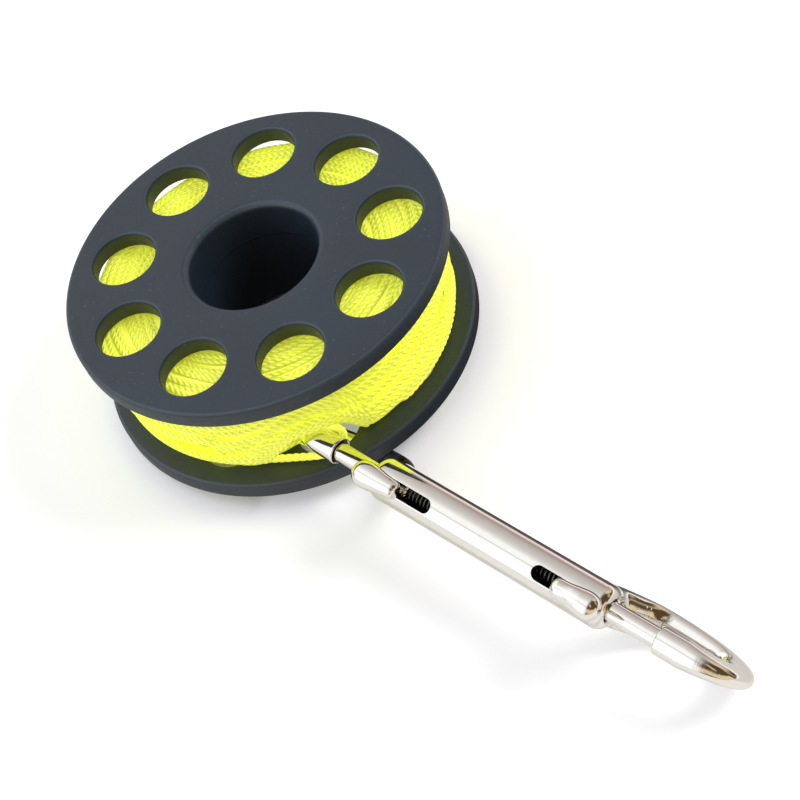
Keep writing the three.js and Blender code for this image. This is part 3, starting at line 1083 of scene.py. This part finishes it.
def slot_cutter():
    """From the barrel's middle upward, as long as the way of the stud's neck."""
    half = neck_radius + bore_clear
    angles = np.linspace(-math.pi / 2, math.pi / 2, slot_steps + 1)
    across, along = half * np.cos(angles), half * np.sin(angles)
    x = np.concatenate([stud_at + across, stud_at - gate_travel - across])
    y = np.concatenate([along, -along])
    return points_of(x, y, [[0.0], [barrel_radius + 2]]), ring_faces(2, len(x))


print("bore", round(bore_floor, 1), "to", round(barrel_length / 2, 1), "mm from the middle")

# %% [markdown]
# ## Cuts
# These edges are crisp on the real casting, because they are drilled and milled after it, so
# they are booleans after the smooth surface is done. Both ends are cut at once: a cutter and
# its copy turned half round are one tool.

# %% Bore and slot the casting
def apply_boolean(body, tool, operation):
    modifier = body.modifiers.new("boolean", "BOOLEAN")
    modifier.operation = operation
    modifier.solver = "EXACT"
    modifier.object = tool
    bpy.context.view_layer.objects.active = body
    with bpy.context.temp_override(object=body, active_object=body):
        bpy.ops.object.modifier_apply(modifier="boolean")
    bpy.data.objects.remove(tool)


for name, (points, faces) in (("bore", bore_cutter()), ("slot", slot_cutter())):
    both_ends = joined([(points, faces), (points * [-1, -1, 1], faces)])
    apply_boolean(casting, solid(name, snap_place, *both_ends), "DIFFERENCE")
print("cut, with", len(casting.data.polygons), "faces")

# %% [markdown]
# ## Polish
# After the cuts, a corner on the outer skin takes the field's own slope as its normal, so the
# booleans leave no mark in the reflections. Walls that were cut keep normals of their own. The
# faces deep inside are marked, and there the plating is painted dark as shade and made rough.

# %% Polish the skin and mark the cut walls
sharp_from = math.radians(35)
agreement = math.cos(math.radians(30))
skin_depth = 0.01
shaded_depth = 0.7


def unit(vectors):
    """Vectors of length 1. One of nearly no length stays small."""
    return vectors / np.maximum(np.linalg.norm(vectors, axis=1, keepdims=True), tiny)


def corner_points(mesh):
    """Which point each corner of each face has."""
    corners = np.empty(len(mesh.loops), np.int32)
    mesh.loops.foreach_get("vertex_index", corners)
    return corners


def polish_normals(mesh):
    mesh.shade_smooth()
    mesh.set_sharp_from_angle(angle=sharp_from)
    here, slope = field_and_slope(snap_place.back(read_points(mesh.vertices, "co")))
    slope = unit(slope) @ snap_place.axes.T
    normals = read_points(mesh.corner_normals, "vector")
    corners = corner_points(mesh)
    agree = (normals * slope[corners]).sum(1) > agreement
    outer = agree & (np.abs(here[corners]) < skin_depth)
    normals[outer] = slope[corners][outer]
    mesh.normals_split_custom_set(normals.tolist())
    print("polished", int(outer.sum()), "corners of", len(corners))


polish_normals(casting.data)
centres = read_points(casting.data.polygons, "center")
# faces deep inside get a painted shade in the plating
shaded = casting_field(snap_place.back(centres)) < -shaded_depth
set_value(casting, "shaded_inside", shaded, "FACE")
print(int(shaded.sum()), "dull faces inside")

# %% [markdown]
# ## Nickel plate
# The casting, gates and studs are polished zinc under bright nickel. Nickel is a shade warmer
# than chrome. What makes it read as plated metal and not as a mirror is small: a soft unevenness
# from polishing the casting, hair scratches round it, and patches a little duller from handling.

# %% The plating
def bright_nickel(name, waviness):
    finish = Finish(name, Metallic=1.0)
    inner = finish.mesh_value("shaded_inside")
    swell = finish.noise(160, 2.0)
    haze = finish.noise(420, 4.0, 0.6)
    rub = finish.noise(260, 8.0, 0.8, finish.stretched(finish.place(), (1.0, 6.0, 6.0)))
    scratch = finish.step_between(rub, 0.64, 0.7)
    tone = finish.mix(haze, rgb(0.80, 0.775, 0.735), rgb(0.88, 0.865, 0.835))
    # painted shade: the faces deep in the bore and slots are painted near black and made rough
    tone = finish.mix(inner, tone, rgb(0.05, 0.048, 0.045))
    rough = 0.055 + finish.step_between(haze, 0.45, 0.8) * 0.07 + scratch * 0.12 + inner * 0.4
    bump = finish.bump(swell, waviness * mm)
    bump = finish.bump(rub, 0.006 * mm, 0.5, under=bump)
    finish.set(Base_Color=tone, Roughness=rough, Normal=bump)
    return finish.material


cast_nickel = bright_nickel("cast_nickel_plate", 0.03)
rod_nickel = bright_nickel("rod_nickel_plate", 0.012)
finish_piece(casting, "snap", cast_nickel, ["snap_body"])

# %% [markdown]
# ## Gates
# A gate is a plain rod with a rounded tip, turned like the bore that it slides in. The near end
# of the snap is the far end turned half round, so each part of an end is drawn once, and a
# Place turned half round carries it over.

# %% Turn the gates
tip_round = 0.6
tip_steps = 8
back_edge = 0.2


def gate_part():
    tip = nose_face + socket_depth - bore_clear
    dome = quarter(gate_radius - tip_round, tip - tip_round, tip_round, 0, 90, tip_steps)
    back = [(gate_back, 0), (gate_back, gate_radius - back_edge)]
    shaft = [(x, gate_radius) for x in (gate_back + back_edge, gate_back + 2, tip - 2)]
    return along_x(back + shaft + [(along, out) for out, along in dome] + [(tip, 0)])


def end_place(end):
    """The snap's own axes, turned half round at the near end."""
    turn = np.diag([1, 1, 1] if end == "far" else [-1, -1, 1])
    return Place(snap_place.axes @ turn, snap_place.origin)


for end in ("far", "near"):
    rod = solid(f"{end}_gate_rod", end_place(end), *gate_part(), sharp=40)
    finish_piece(rod, f"{end}_gate_slide", rod_nickel, [f"{end}_gate"])

# %% [markdown]
# ## Thumb studs
# A stud is a piece of its own, riveted into its gate: a neck that goes through the slot with a
# small collar over it, and a long teardrop head that leans outward, so that a gloved thumb
# catches it. The head is round rings along the barrel, from a few stations of place, height and
# size. Its tips close down to almost nothing. Neck and head are one after a boolean.

# %% Rivet the studs
stud_head_radius = 3.0
stud_head_reach = 4.6
stud_head_flat = 0.94
stud_head_sides = 40
stud_head_shares = [
    [-0.77, 0.96, 0.02], [-0.76, 0.96, 0.2], [-0.73, 0.96, 0.38], [-0.65, 0.96, 0.58],
    [-0.45, 0.97, 0.70], [-0.2, 0.97, 0.74], [0.1, 1.0, 0.79], [0.54, 1.03, 0.9],
    [1.09, 1.08, 0.98], [1.43, 1.1, 0.88], [1.65, 1.1, 0.62], [1.75, 1.1, 0.38],
    [1.79, 1.1, 0.18], [1.8, 1.1, 0.02],
]
neck_sides = 32
neck_step = 0.2
collar = 0.35


def stud_head():
    """Rings across X, from x, height and radius at each station."""
    reach, stand, size = np.array(stud_head_shares).T
    stations = smooth_route(np.stack([
        stud_at + reach * stud_head_reach, barrel_radius + stand * stud_head_radius,
        size * stud_head_radius,
    ], axis=1), 6)
    x, height, radius = stations[:, :1], stations[:, 1:2], stations[:, 2:]
    cos, sin = circle(stud_head_sides)
    rings = points_of(x, radius * cos, height + stud_head_flat * radius * sin)
    return rings, ring_faces(len(rings), stud_head_sides)


def stud_neck():
    """From the middle of the gate up into the head, as heights and radii."""
    top = barrel_radius + 0.9 * stud_head_radius
    rivet = neck_radius - neck_step
    profile = np.array([
        (0.55 * gate_radius, rivet), (gate_radius + 0.1, rivet),
        (gate_radius + 0.3, neck_radius), (barrel_radius - 0.3, neck_radius),
        (barrel_radius + 0.15, neck_radius + collar), (top, neck_radius + 0.6),
    ])
    height, radius = profile[:, :1], profile[:, 1:]
    cos, sin = circle(neck_sides)
    rings = points_of(stud_at + radius * cos, radius * sin, height)
    return rings, ring_faces(len(rings), neck_sides)


for end in ("far", "near"):
    stud = solid(f"{end}_stud", end_place(end), *stud_head(), sharp=60)
    apply_boolean(stud, solid(f"{end}_neck", end_place(end), *stud_neck()), "UNION")
    stud.data.shade_smooth()
    stud.data.set_sharp_from_angle(angle=math.radians(40))
    finish_piece(stud, f"{end}_gate_slide", rod_nickel, [f"{end}_thumb_stud"])

# %% [markdown]
# ## The gate springs
# A compression spring sits behind each gate, and its coils show at the bottom of the slot.
# Its wire is painted very dark, a painted shade for the dark bore it lies in.

# %% Coil the springs
spring_curls = 15
spring_radius = 1.55
curl_steps = 24
wire_sides = 10
closed_share = 0.08
closed_pitch = 0.35


def spring_wire_finish():
    finish = Finish("spring_wire", Metallic=1.0)
    drawn = finish.noise(900, 4.0)
    # painted shade: the wire is coloured very dark, like the bore it lies in
    tone = finish.mix(drawn, rgb(0.10, 0.10, 0.105), rgb(0.22, 0.22, 0.23))
    finish.set(Base_Color=tone, Roughness=0.22 + drawn * 0.2)
    return finish.material


def spring_part():
    start, end = bore_floor + bore_clear, gate_back - bore_clear
    angle = np.linspace(0, tau * spring_curls, spring_curls * curl_steps + 1)
    share = angle / angle[-1]
    opened = eased(share / closed_share) * eased((1 - share) / closed_share)
    pitch = np.cumsum(closed_pitch + opened)
    room = end - start - spring_wire
    x = start + spring_wire / 2 + room * (pitch - pitch[0]) / (pitch[-1] - pitch[0])
    path = points_of(x, spring_radius * np.cos(angle), spring_radius * np.sin(angle))
    rings = tube_rings(path, carried_frames(path), spring_wire / 2, wire_sides)
    return rings, ring_faces(len(path), wire_sides)


wire = spring_wire_finish()
for end in ("far", "near"):
    spring = solid(f"{end}_coil", end_place(end), *spring_part())
    finish_piece(spring, "snap", wire, [f"{end}_gate_spring"])
    anchor = tuple(end_place(end).out([bore_floor, 0, 0]))
    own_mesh(spring)

# %% [markdown]
# ## The shape of the winding
# Line wound by hand bulges in the middle and is lowest beside the flanges. Over the snap's hook
# the turns crowd upward and leave a pocket for it. Two plain functions say so, of the height and
# of the angle, and all of the winding follows them. A last one pushes points clear of the
# metal, with the casting's own field.

# %% The drum and the pocket
wound_radius = 39.1
wound_bulge = 1.7
bulge_power = 0.7
corner_start = 1.2
corner_height = 7.3
corner_depth = 2.0
pocket_angle = math.radians(-33)
squeeze_full = math.radians(6)
squeeze_end_left = math.radians(17)
squeeze_end_right = math.radians(25)
snap_reach = bend_centre + 16
push_tries = 5
longest_push = 1.5


def squeeze_at(angle):
    """How far the turns are pushed up by the hook. They fall back sooner on its left side."""
    signed = (angle - pocket_angle + math.pi) % tau - math.pi
    end = np.where(signed > 0, squeeze_end_left, squeeze_end_right)
    return 1 - eased((np.abs(signed) - squeeze_full) / (end - squeeze_full))


def drum_radius(height):
    """Where the middle of the outermost turns lies. A last turn has its room at the bottom."""
    share = (height - flange_thickness) / flange_spacing
    bulge = wound_bulge * np.sin(math.pi * np.clip(share, 0, 1)) ** bulge_power
    above = height - flange_thickness - corner_start
    corner = 1 - eased(above / (corner_height - flange_thickness - corner_start))
    return wound_radius + bulge - corner_depth * corner


def clear_of_snap(points, margin):
    """Pushes points of the spool's place out of the casting, until it is a margin away."""
    own = snap_place.back(spool_place.out(points))
    near = np.abs(own[:, 0]) < snap_reach
    for _ in range(push_tries):
        here, slope = field_and_slope(own[near])
        short = np.clip(margin - here, 0, longest_push)
        own[near] += unit(slope) * short[:, None]
    return spool_place.back(snap_place.out(own))


print("wound to", round(float(drum_radius(np.array([spool_height / 2]))[0]), 1), "mm half way up")

# %% [markdown]
# ## How a hand guides the line
# Hand-wound line doesn't lie in neat rings: it wanders up and down between the flanges, and each
# pass crosses the one below. The wandering is drawn once, at a pace that changes three times in
# each turn, and a seed keeps it the same in every run.

# %% Let the line wander
turns_laid = 44
turn_steps = 180
climb_steps = turn_steps // 3
climbs = (0.06, 0.13)


def wandering_heights():
    """How high each step of each turn lies, from 0 at the lower flange to 1 at the upper one."""
    draw = np.random.default_rng(11)
    heights = []
    at, way, pitch = 0.2, 1, 0.1
    for i in range(turns_laid * turn_steps):
        if i % climb_steps == 0:
            pitch = draw.uniform(*climbs)
        at += way * pitch / turn_steps
        if at > 1 or at < 0:
            way = -way
            at = min(max(at, 0.0), 1.0)
        heights.append(at)
    return np.array(heights).reshape(turns_laid, turn_steps)


laid_shares = wandering_heights()
print("the line wanders between", laid_shares.min().round(2), "and", laid_shares.max().round(2))

# %% [markdown]
# ## Turn upon turn
# The line is really wound here. A map of the winding's radius, by angle and height, starts as a
# plain drum. Turn after turn the line is laid at its height, at the radius where it first rests
# on the map, bridging the hollows as a taut line does, and then raises the map. What the drum
# has grown beyond its shape is taken off at the end.

# %% Lay the line
laid_thickness = 6.0
turn_radius = 0.86
pocket_top = 14.6
nestle = 0.8
bridge = 4
bridge_soft = 6
level_around = 8
level_up = 12
first_angle = math.radians(-67)
grown_over = 0.25
map_heights = np.linspace(flange_thickness, flange_thickness + flange_spacing, 111)
low_height = flange_thickness + seam + turn_radius
high_height = flange_thickness + flange_spacing - seam - turn_radius


def spread(values, reach, axis):
    """A running mean that closes on itself along the angles, and stops at the flanges."""
    mode = "wrap" if axis == 0 else "edge"
    widths = [(reach, reach) if k == axis else (0, 0) for k in range(values.ndim)]
    wide = np.pad(values, widths, mode=mode)
    kernel = np.hanning(2 * reach + 3)[1:-1]
    return np.apply_along_axis(np.convolve, axis, wide, kernel / kernel.sum(), mode="valid")


def lay_line():
    """The path of the line, turn upon turn, and the drum's map after the last turn."""
    surface = np.repeat(drum_radius(map_heights)[None] - laid_thickness, turn_steps, axis=0)
    angle = first_angle - tau * np.arange(turn_steps) / turn_steps
    floor = low_height + squeeze_at(angle) * (pocket_top - low_height)
    path = []
    for share in laid_shares:
        height = floor + share * (high_height - floor)
        gap = map_heights[None] - height[:, None]
        under = np.abs(gap) < turn_radius
        dome = np.sqrt(np.clip(turn_radius ** 2 - gap ** 2, 0, None)) * nestle
        rest = np.where(under, surface + dome, 0).max(1)
        around = np.pad(rest, bridge, mode="wrap")
        bridged = np.max([around[i:i + turn_steps] for i in range(2 * bridge + 1)], axis=0)
        radius = spread(bridged, bridge_soft, 0)
        surface = np.where(under, np.maximum(surface, radius[:, None] + dome), surface)
        path.append(np.stack([angle, radius, height], axis=1))
    return np.array(path), surface


def levelled(path, surface):
    """Takes off what the drum has grown beyond its round shape, but keeps turn over turn."""
    grown = spread(surface - drum_radius(map_heights)[None], level_around, 0)
    extra = spread(grown, level_up, 1)
    angle, radius, height = np.moveaxis(path, -1, 0)
    where = np.clip(np.searchsorted(map_heights, height), 0, len(map_heights) - 1)
    radius = radius - extra[np.arange(turn_steps)[None], where]
    drum = drum_radius(height)
    radius = np.clip(radius, drum - laid_thickness, drum + grown_over)
    return around_z(radius, angle, height).reshape(-1, 3)


laid_path = clear_of_snap(levelled(*lay_line()), turn_radius + 0.1)
print("wound", round(lengths_along(laid_path)[-1] * mm, 1), "m of line")

# %% [markdown]
# ## The last turn
# The turn that ends in the free bight shows up close, so it is braided like the bight. It comes
# out from inside the winding and runs along the lower edge with a little sway. The turns below
# it are plain tubes that carry the braid as a map.

# %% Skin the winding
turn_sides = 10
last_turn_arc = math.radians(316)
last_turn_steps = 700
inside_steps = 60
rise_share = 0.06
rise_in = 4
rise_up = 3.0
loose_share = 0.3
loose_by = 1.3
sway_in = 0.25
sway_up = 0.12
last_turn_spacing = yarn_step * 1.2


def last_turn():
    """Along the lower edge, from inside the winding to the start of the bight."""
    start = bight_line[0]
    run = np.linspace(0, 1, last_turn_steps)
    angle = math.atan2(start[1], start[0]) - last_turn_arc * (1 - run)
    rise = eased(1 - run / rise_share)
    loose = eased((1 - run) / loose_share)
    fade = np.sin(math.pi * run)
    sway = sway_in * np.sin(5 * angle) * fade
    radius = math.hypot(start[0], start[1]) + loose_by * loose + sway - rise_in * rise
    height = start[2] + rise_up * rise + sway_up * np.sin(7 * angle) * fade
    path = around_z(radius, angle, height)
    inner = clear_of_snap(path[:inside_steps], line_radius + 0.15)
    return spaced(np.vstack([inner, path[inside_steps:]]), last_turn_spacing)


def set_map(thing, name, across, along):
    """A UV map from one pair of values for each point. Only bump and colour read it."""
    layer = thing.data.uv_layers.new(name=name)
    corners = corner_points(thing.data)
    pairs = np.stack([across[corners], along[corners]], axis=1)
    layer.data.foreach_set("uv", pairs.astype(np.float32).ravel())


def wound_tube(name, path):
    """A plain tube along a path. Its map tells the finish how far round and along it is."""
    rings = tube_rings(path, carried_frames(path), turn_radius, turn_sides)
    thing = make_mesh(name, spool_place.out(rings), ring_faces(len(path), turn_sides))
    along = np.repeat(lengths_along(path) / braid_pitch, turn_sides)
    set_map(thing, "braid", np.tile(np.arange(turn_sides) / turn_sides, len(path)), along)
    return turn_outward(thing)


finish_piece(braided_cord("last_turn", last_turn()), "spool", yarn_yellow)
wound_line = wound_tube("wound_line", laid_path)
finish_piece(wound_line, "spool", wound_yellow, ["line_winding"])

# %% [markdown]
# ## What the holes show
# Through the flanges' holes one looks at the ends of the layers: turn beside turn, lying against
# the flange. One spiral against each flange gives that, its turns wavering in and out a little.
# The lower one draws back where the hook comes in.

# %% Wind the two ends
layer_spacing = 1.58
layer_start = hub_radius + 1.4
upper_layer_end = wound_radius + 1.2
lower_layer_end = wound_radius - 0.2
layer_waves = (1.3, 2.7, 4.1, 7.3)
waver_size = 0.24
dip_size = 0.2
pocket_retreat = 4.0
retreat_from = 30
retreat_over = 8


def end_spiral(upper, seed):
    draw = np.random.default_rng(seed)
    last = upper_layer_end if upper else lower_layer_end
    steps = int((last - layer_start) / layer_spacing) * turn_steps
    turn = np.arange(steps) / turn_steps
    angle = tau * turn
    waver, dip = np.zeros(steps), np.zeros(steps)
    for wave in layer_waves:
        waver += waver_size * np.sin(wave * angle * 1.07 + draw.uniform(0, tau))
        dip += dip_size * np.sin(wave * angle * 0.93 + draw.uniform(0, tau))
    radius = layer_start + layer_spacing * turn + waver
    depth = turn_radius + 0.1 + np.abs(dip)
    if upper:
        return around_z(radius, angle, flange_thickness + flange_spacing - seam - depth)
    retreat = pocket_retreat * squeeze_at(angle) * eased((radius - retreat_from) / retreat_over)
    return around_z(radius - retreat, angle, flange_thickness + seam + depth)


for name, upper, seed in (("lower_layer_ends", False, 5), ("upper_layer_ends", True, 9)):
    spiral = wound_tube(name, clear_of_snap(end_spiral(upper, seed), turn_radius + 0.1))
    finish_piece(spiral, "spool", wound_yellow)

# %% [markdown]
# ## The bed
# A plain turned body of the same yellow fills the space behind the turns, so that nothing shows
# between them. It draws back at the hook too.

# %% Fill the middle
bed_depth = 2.6
bed_gap = 1.0
bed_slope = 4
bed_retreat = 3.4
bed_sides = 240
bed_rows = 36
bed_columns = 26
bed_clear = 0.4


def bed_part():
    low = flange_thickness + seam + bed_gap
    high = flange_thickness + flange_spacing - seam - bed_gap
    heights = np.linspace(low, high, bed_rows)
    outer = np.column_stack([drum_radius(heights) - bed_depth, heights])
    inner = hub_radius + seam
    bottom = np.linspace([inner, low], [outer[0, 0], low], bed_columns)
    top = np.linspace([outer[-1, 0], high], [inner, high], bed_columns)
    profile = np.vstack([bottom[:-1], outer, top[1:]])
    cos, sin = circle(bed_sides)
    share = (profile[:, 0] - inner) / (outer[:, 0].max() - inner)
    lowness = 1 - eased((profile[:, 1] - pocket_top) / bed_slope)
    squeeze = squeeze_at(np.arange(bed_sides) * tau / bed_sides)
    radius = profile[:, :1] - (bed_retreat * share * lowness)[:, None] * squeeze
    points = points_of(radius * cos, radius * sin, profile[:, 1:]).reshape(-1, 3)
    return clear_of_snap(points, bed_clear), ring_faces(len(profile), bed_sides, looped=True)


bed = solid("line_bed", spool_place, *bed_part())
finish_piece(bed, "spool", yarn_yellow, ["line_core"])

# %% [markdown]
# ## The table
# The object lies on a plain white surface. What the lamps leave it short of pure white is added
# only where the camera looks at it, so that no extra light falls on the object and its shadow
# stays. Under the spool there is no lift, a painted shadow that keeps the inside of the finger
# hole dark, and where the snap raises the flange the lift comes back below it as painted light.
# In a mirrored look, a strip of the table is painted dark, a painted shade that the plating
# mirrors at its edge, the way a studio's grey reflector draws the edge of polished metal.

# %% The table
table_half = 4.0
table_lift = 0.3
lift_tint = rgb(0.84, 0.88, 1.0)
spool_middle = tuple(spool_place.origin)


def pale_table():
    finish = Finish("pale_table", Roughness=0.6, Specular_IOR_Level=0.2)
    where = finish.place()
    apart = {"operation": "DISTANCE"}
    away = finish.node("ShaderNodeVectorMath", apart, {0: where, 1: spool_middle}, out="Value")
    x, y = finish.part(where, "X"), finish.part(where, "Y")
    # painted shadow: no lift under the spool, and painted light where the snap raises the flange
    raised = finish.step_between(x, -0.03, -0.022)
    outside = finish.step_between(away, 0.036, 0.05)
    outside = outside.larger(raised * finish.step_between(away, 0.019, 0.027))
    # painted shade: a strip of the table turns dark only in mirrored looks, to draw the plating's
    # edge
    mirrored_shade_strip = finish.step_between(y, -0.017, -0.008) * finish.step_between(-1 * y, -0.09, -0.03)
    mirrored_shade_strip = mirrored_shade_strip * (1 - finish.step_between(x, 0.055, 0.085) * 0.75)
    paper = finish.mix(finish.noise(30, 3.0), rgb(0.85, 0.855, 0.86), rgb(0.87, 0.87, 0.872))
    paper = finish.mix(mirrored_shade_strip * finish.ray("Glossy"), paper, rgb(0.10, 0.075, 0.08))
    lift = finish.mix(finish.ray("Camera") * outside, rgb(0, 0, 0), lift_tint)
    finish.set(Base_Color=paper, Emission_Color=lift, Emission_Strength=table_lift)
    return finish.material


corners = [(-1, -1, 0), (1, -1, 0), (1, 1, 0), (-1, 1, 0)]
table = make_mesh("table", table_half * np.array(corners), [[0, 1, 2, 3]])
table.data.materials.append(pale_table())
print("table", 2 * table_half, "m wide")

# %% [markdown]
# ## The lamps
# A big window stands on the left and a warmer room on the right. Both are soft discs that light
# the scene but don't show in the plating, because what it mirrors is painted in the next cell.

# %% Hang the lamps
def soft_lamp(name, place, aim, size, power, color):
    light = bpy.data.lights.new(name, "AREA")
    light.shape = "DISK"
    light.size = size
    light.energy = power
    light.color = color
    lamp = bpy.data.objects.new(name, light)
    lamp.location = place
    lamp.rotation_euler = (Vector(aim) - Vector(place)).to_track_quat("-Z", "Y").to_euler()
    lamp.visible_glossy = False
    bpy.context.scene.collection.objects.link(lamp)


soft_lamp("window", (-0.75, -0.65, 0.95), (-0.02, 0, 0.01), 0.9, 2.5, (0.90, 0.95, 1.0))
soft_lamp("room", (0.55, 0.75, 0.8), (0, 0, 0.01), 0.6, 8.5, (1.0, 0.98, 0.95))
print("two lamps hung")

# %% [markdown]
# ## The room
# Polished plate only looks like metal when it has something darker to mirror, so the room
# around the object isn't even: it is white toward the window, steps down to grey over the top,
# turns to a dim rose brown above the horizon opposite, and is a mottled gold brown where the
# room lies. The steps are written by the angle round the snap's barrel, from straight up. The
# camera itself sees plain white.

# %% Paint the room
window_white = rgb(1.25, 1.27, 1.29)
room_steps = [
    (-110, window_white), (-34, window_white), (-28, rgb(0.76, 0.77, 0.78)),
    (-22, rgb(1.14, 1.15, 1.16)), (-3, rgb(1.14, 1.15, 1.16)), (10, rgb(0.90, 0.89, 0.88)),
    (22, rgb(0.74, 0.72, 0.70)), (46, rgb(0.60, 0.58, 0.56)), (62, rgb(0.56, 0.48, 0.45)),
    (78, rgb(0.42, 0.32, 0.31)), (88, rgb(0.77, 0.61, 0.63)), (96, rgb(1.05, 0.88, 0.9)),
]


class Room(Finish):
    """The same small language, for the world around the object."""

    def __init__(self, name):
        self.world = bpy.data.worlds.new(name)
        self.world.use_nodes = True
        self.tree = self.world.node_tree
        self.tree.nodes.clear()

    def light(self, color):
        return self.node("ShaderNodeBackground", {}, {"Color": color})


def soft_room():
    room = Room("soft_room")
    toward = room.node("ShaderNodeTexCoord", out="Generated")
    x, y, z = [room.part(toward, axis) for axis in "XYZ"]
    turn = y.maths("ARCTAN2", y, z) * (1 / tau) + 0.5
    stops = [(angle / 360 + 0.5, color) for angle, color in room_steps]
    across = room.node("ShaderNodeValToRGB", {"stops": stops}, {"Fac": turn})
    spots = room.step_between(room.noise(1.5, 1.0, where=toward), 0.48, 0.66)
    gold = room.mix(spots, rgb(0.10, 0.065, 0.035), rgb(0.85, 0.68, 0.44))
    shade = room.mix(room.step_between(x, -0.05, 0.45), across, gold)
    low = 1 - room.step_between(z, 0.05, 0.4)
    window = room.mix(low, window_white, rgb(0.32, 0.28, 0.19))
    shade = room.mix(room.step_between(-1 * x, 0.62, 0.8), shade, window)
    lights = {0: room.ray("Camera"), 1: room.light(shade), 2: room.light(rgb(1, 1, 1))}
    shader = room.node("ShaderNodeMixShader", {}, lights)
    room.node("ShaderNodeOutputWorld", {}, {"Surface": shader}, out=None)
    return room.world


bpy.context.scene.world = soft_room()
bpy.context.scene.view_settings.view_transform = "Standard"
print("room painted in", len(room_steps), "steps")
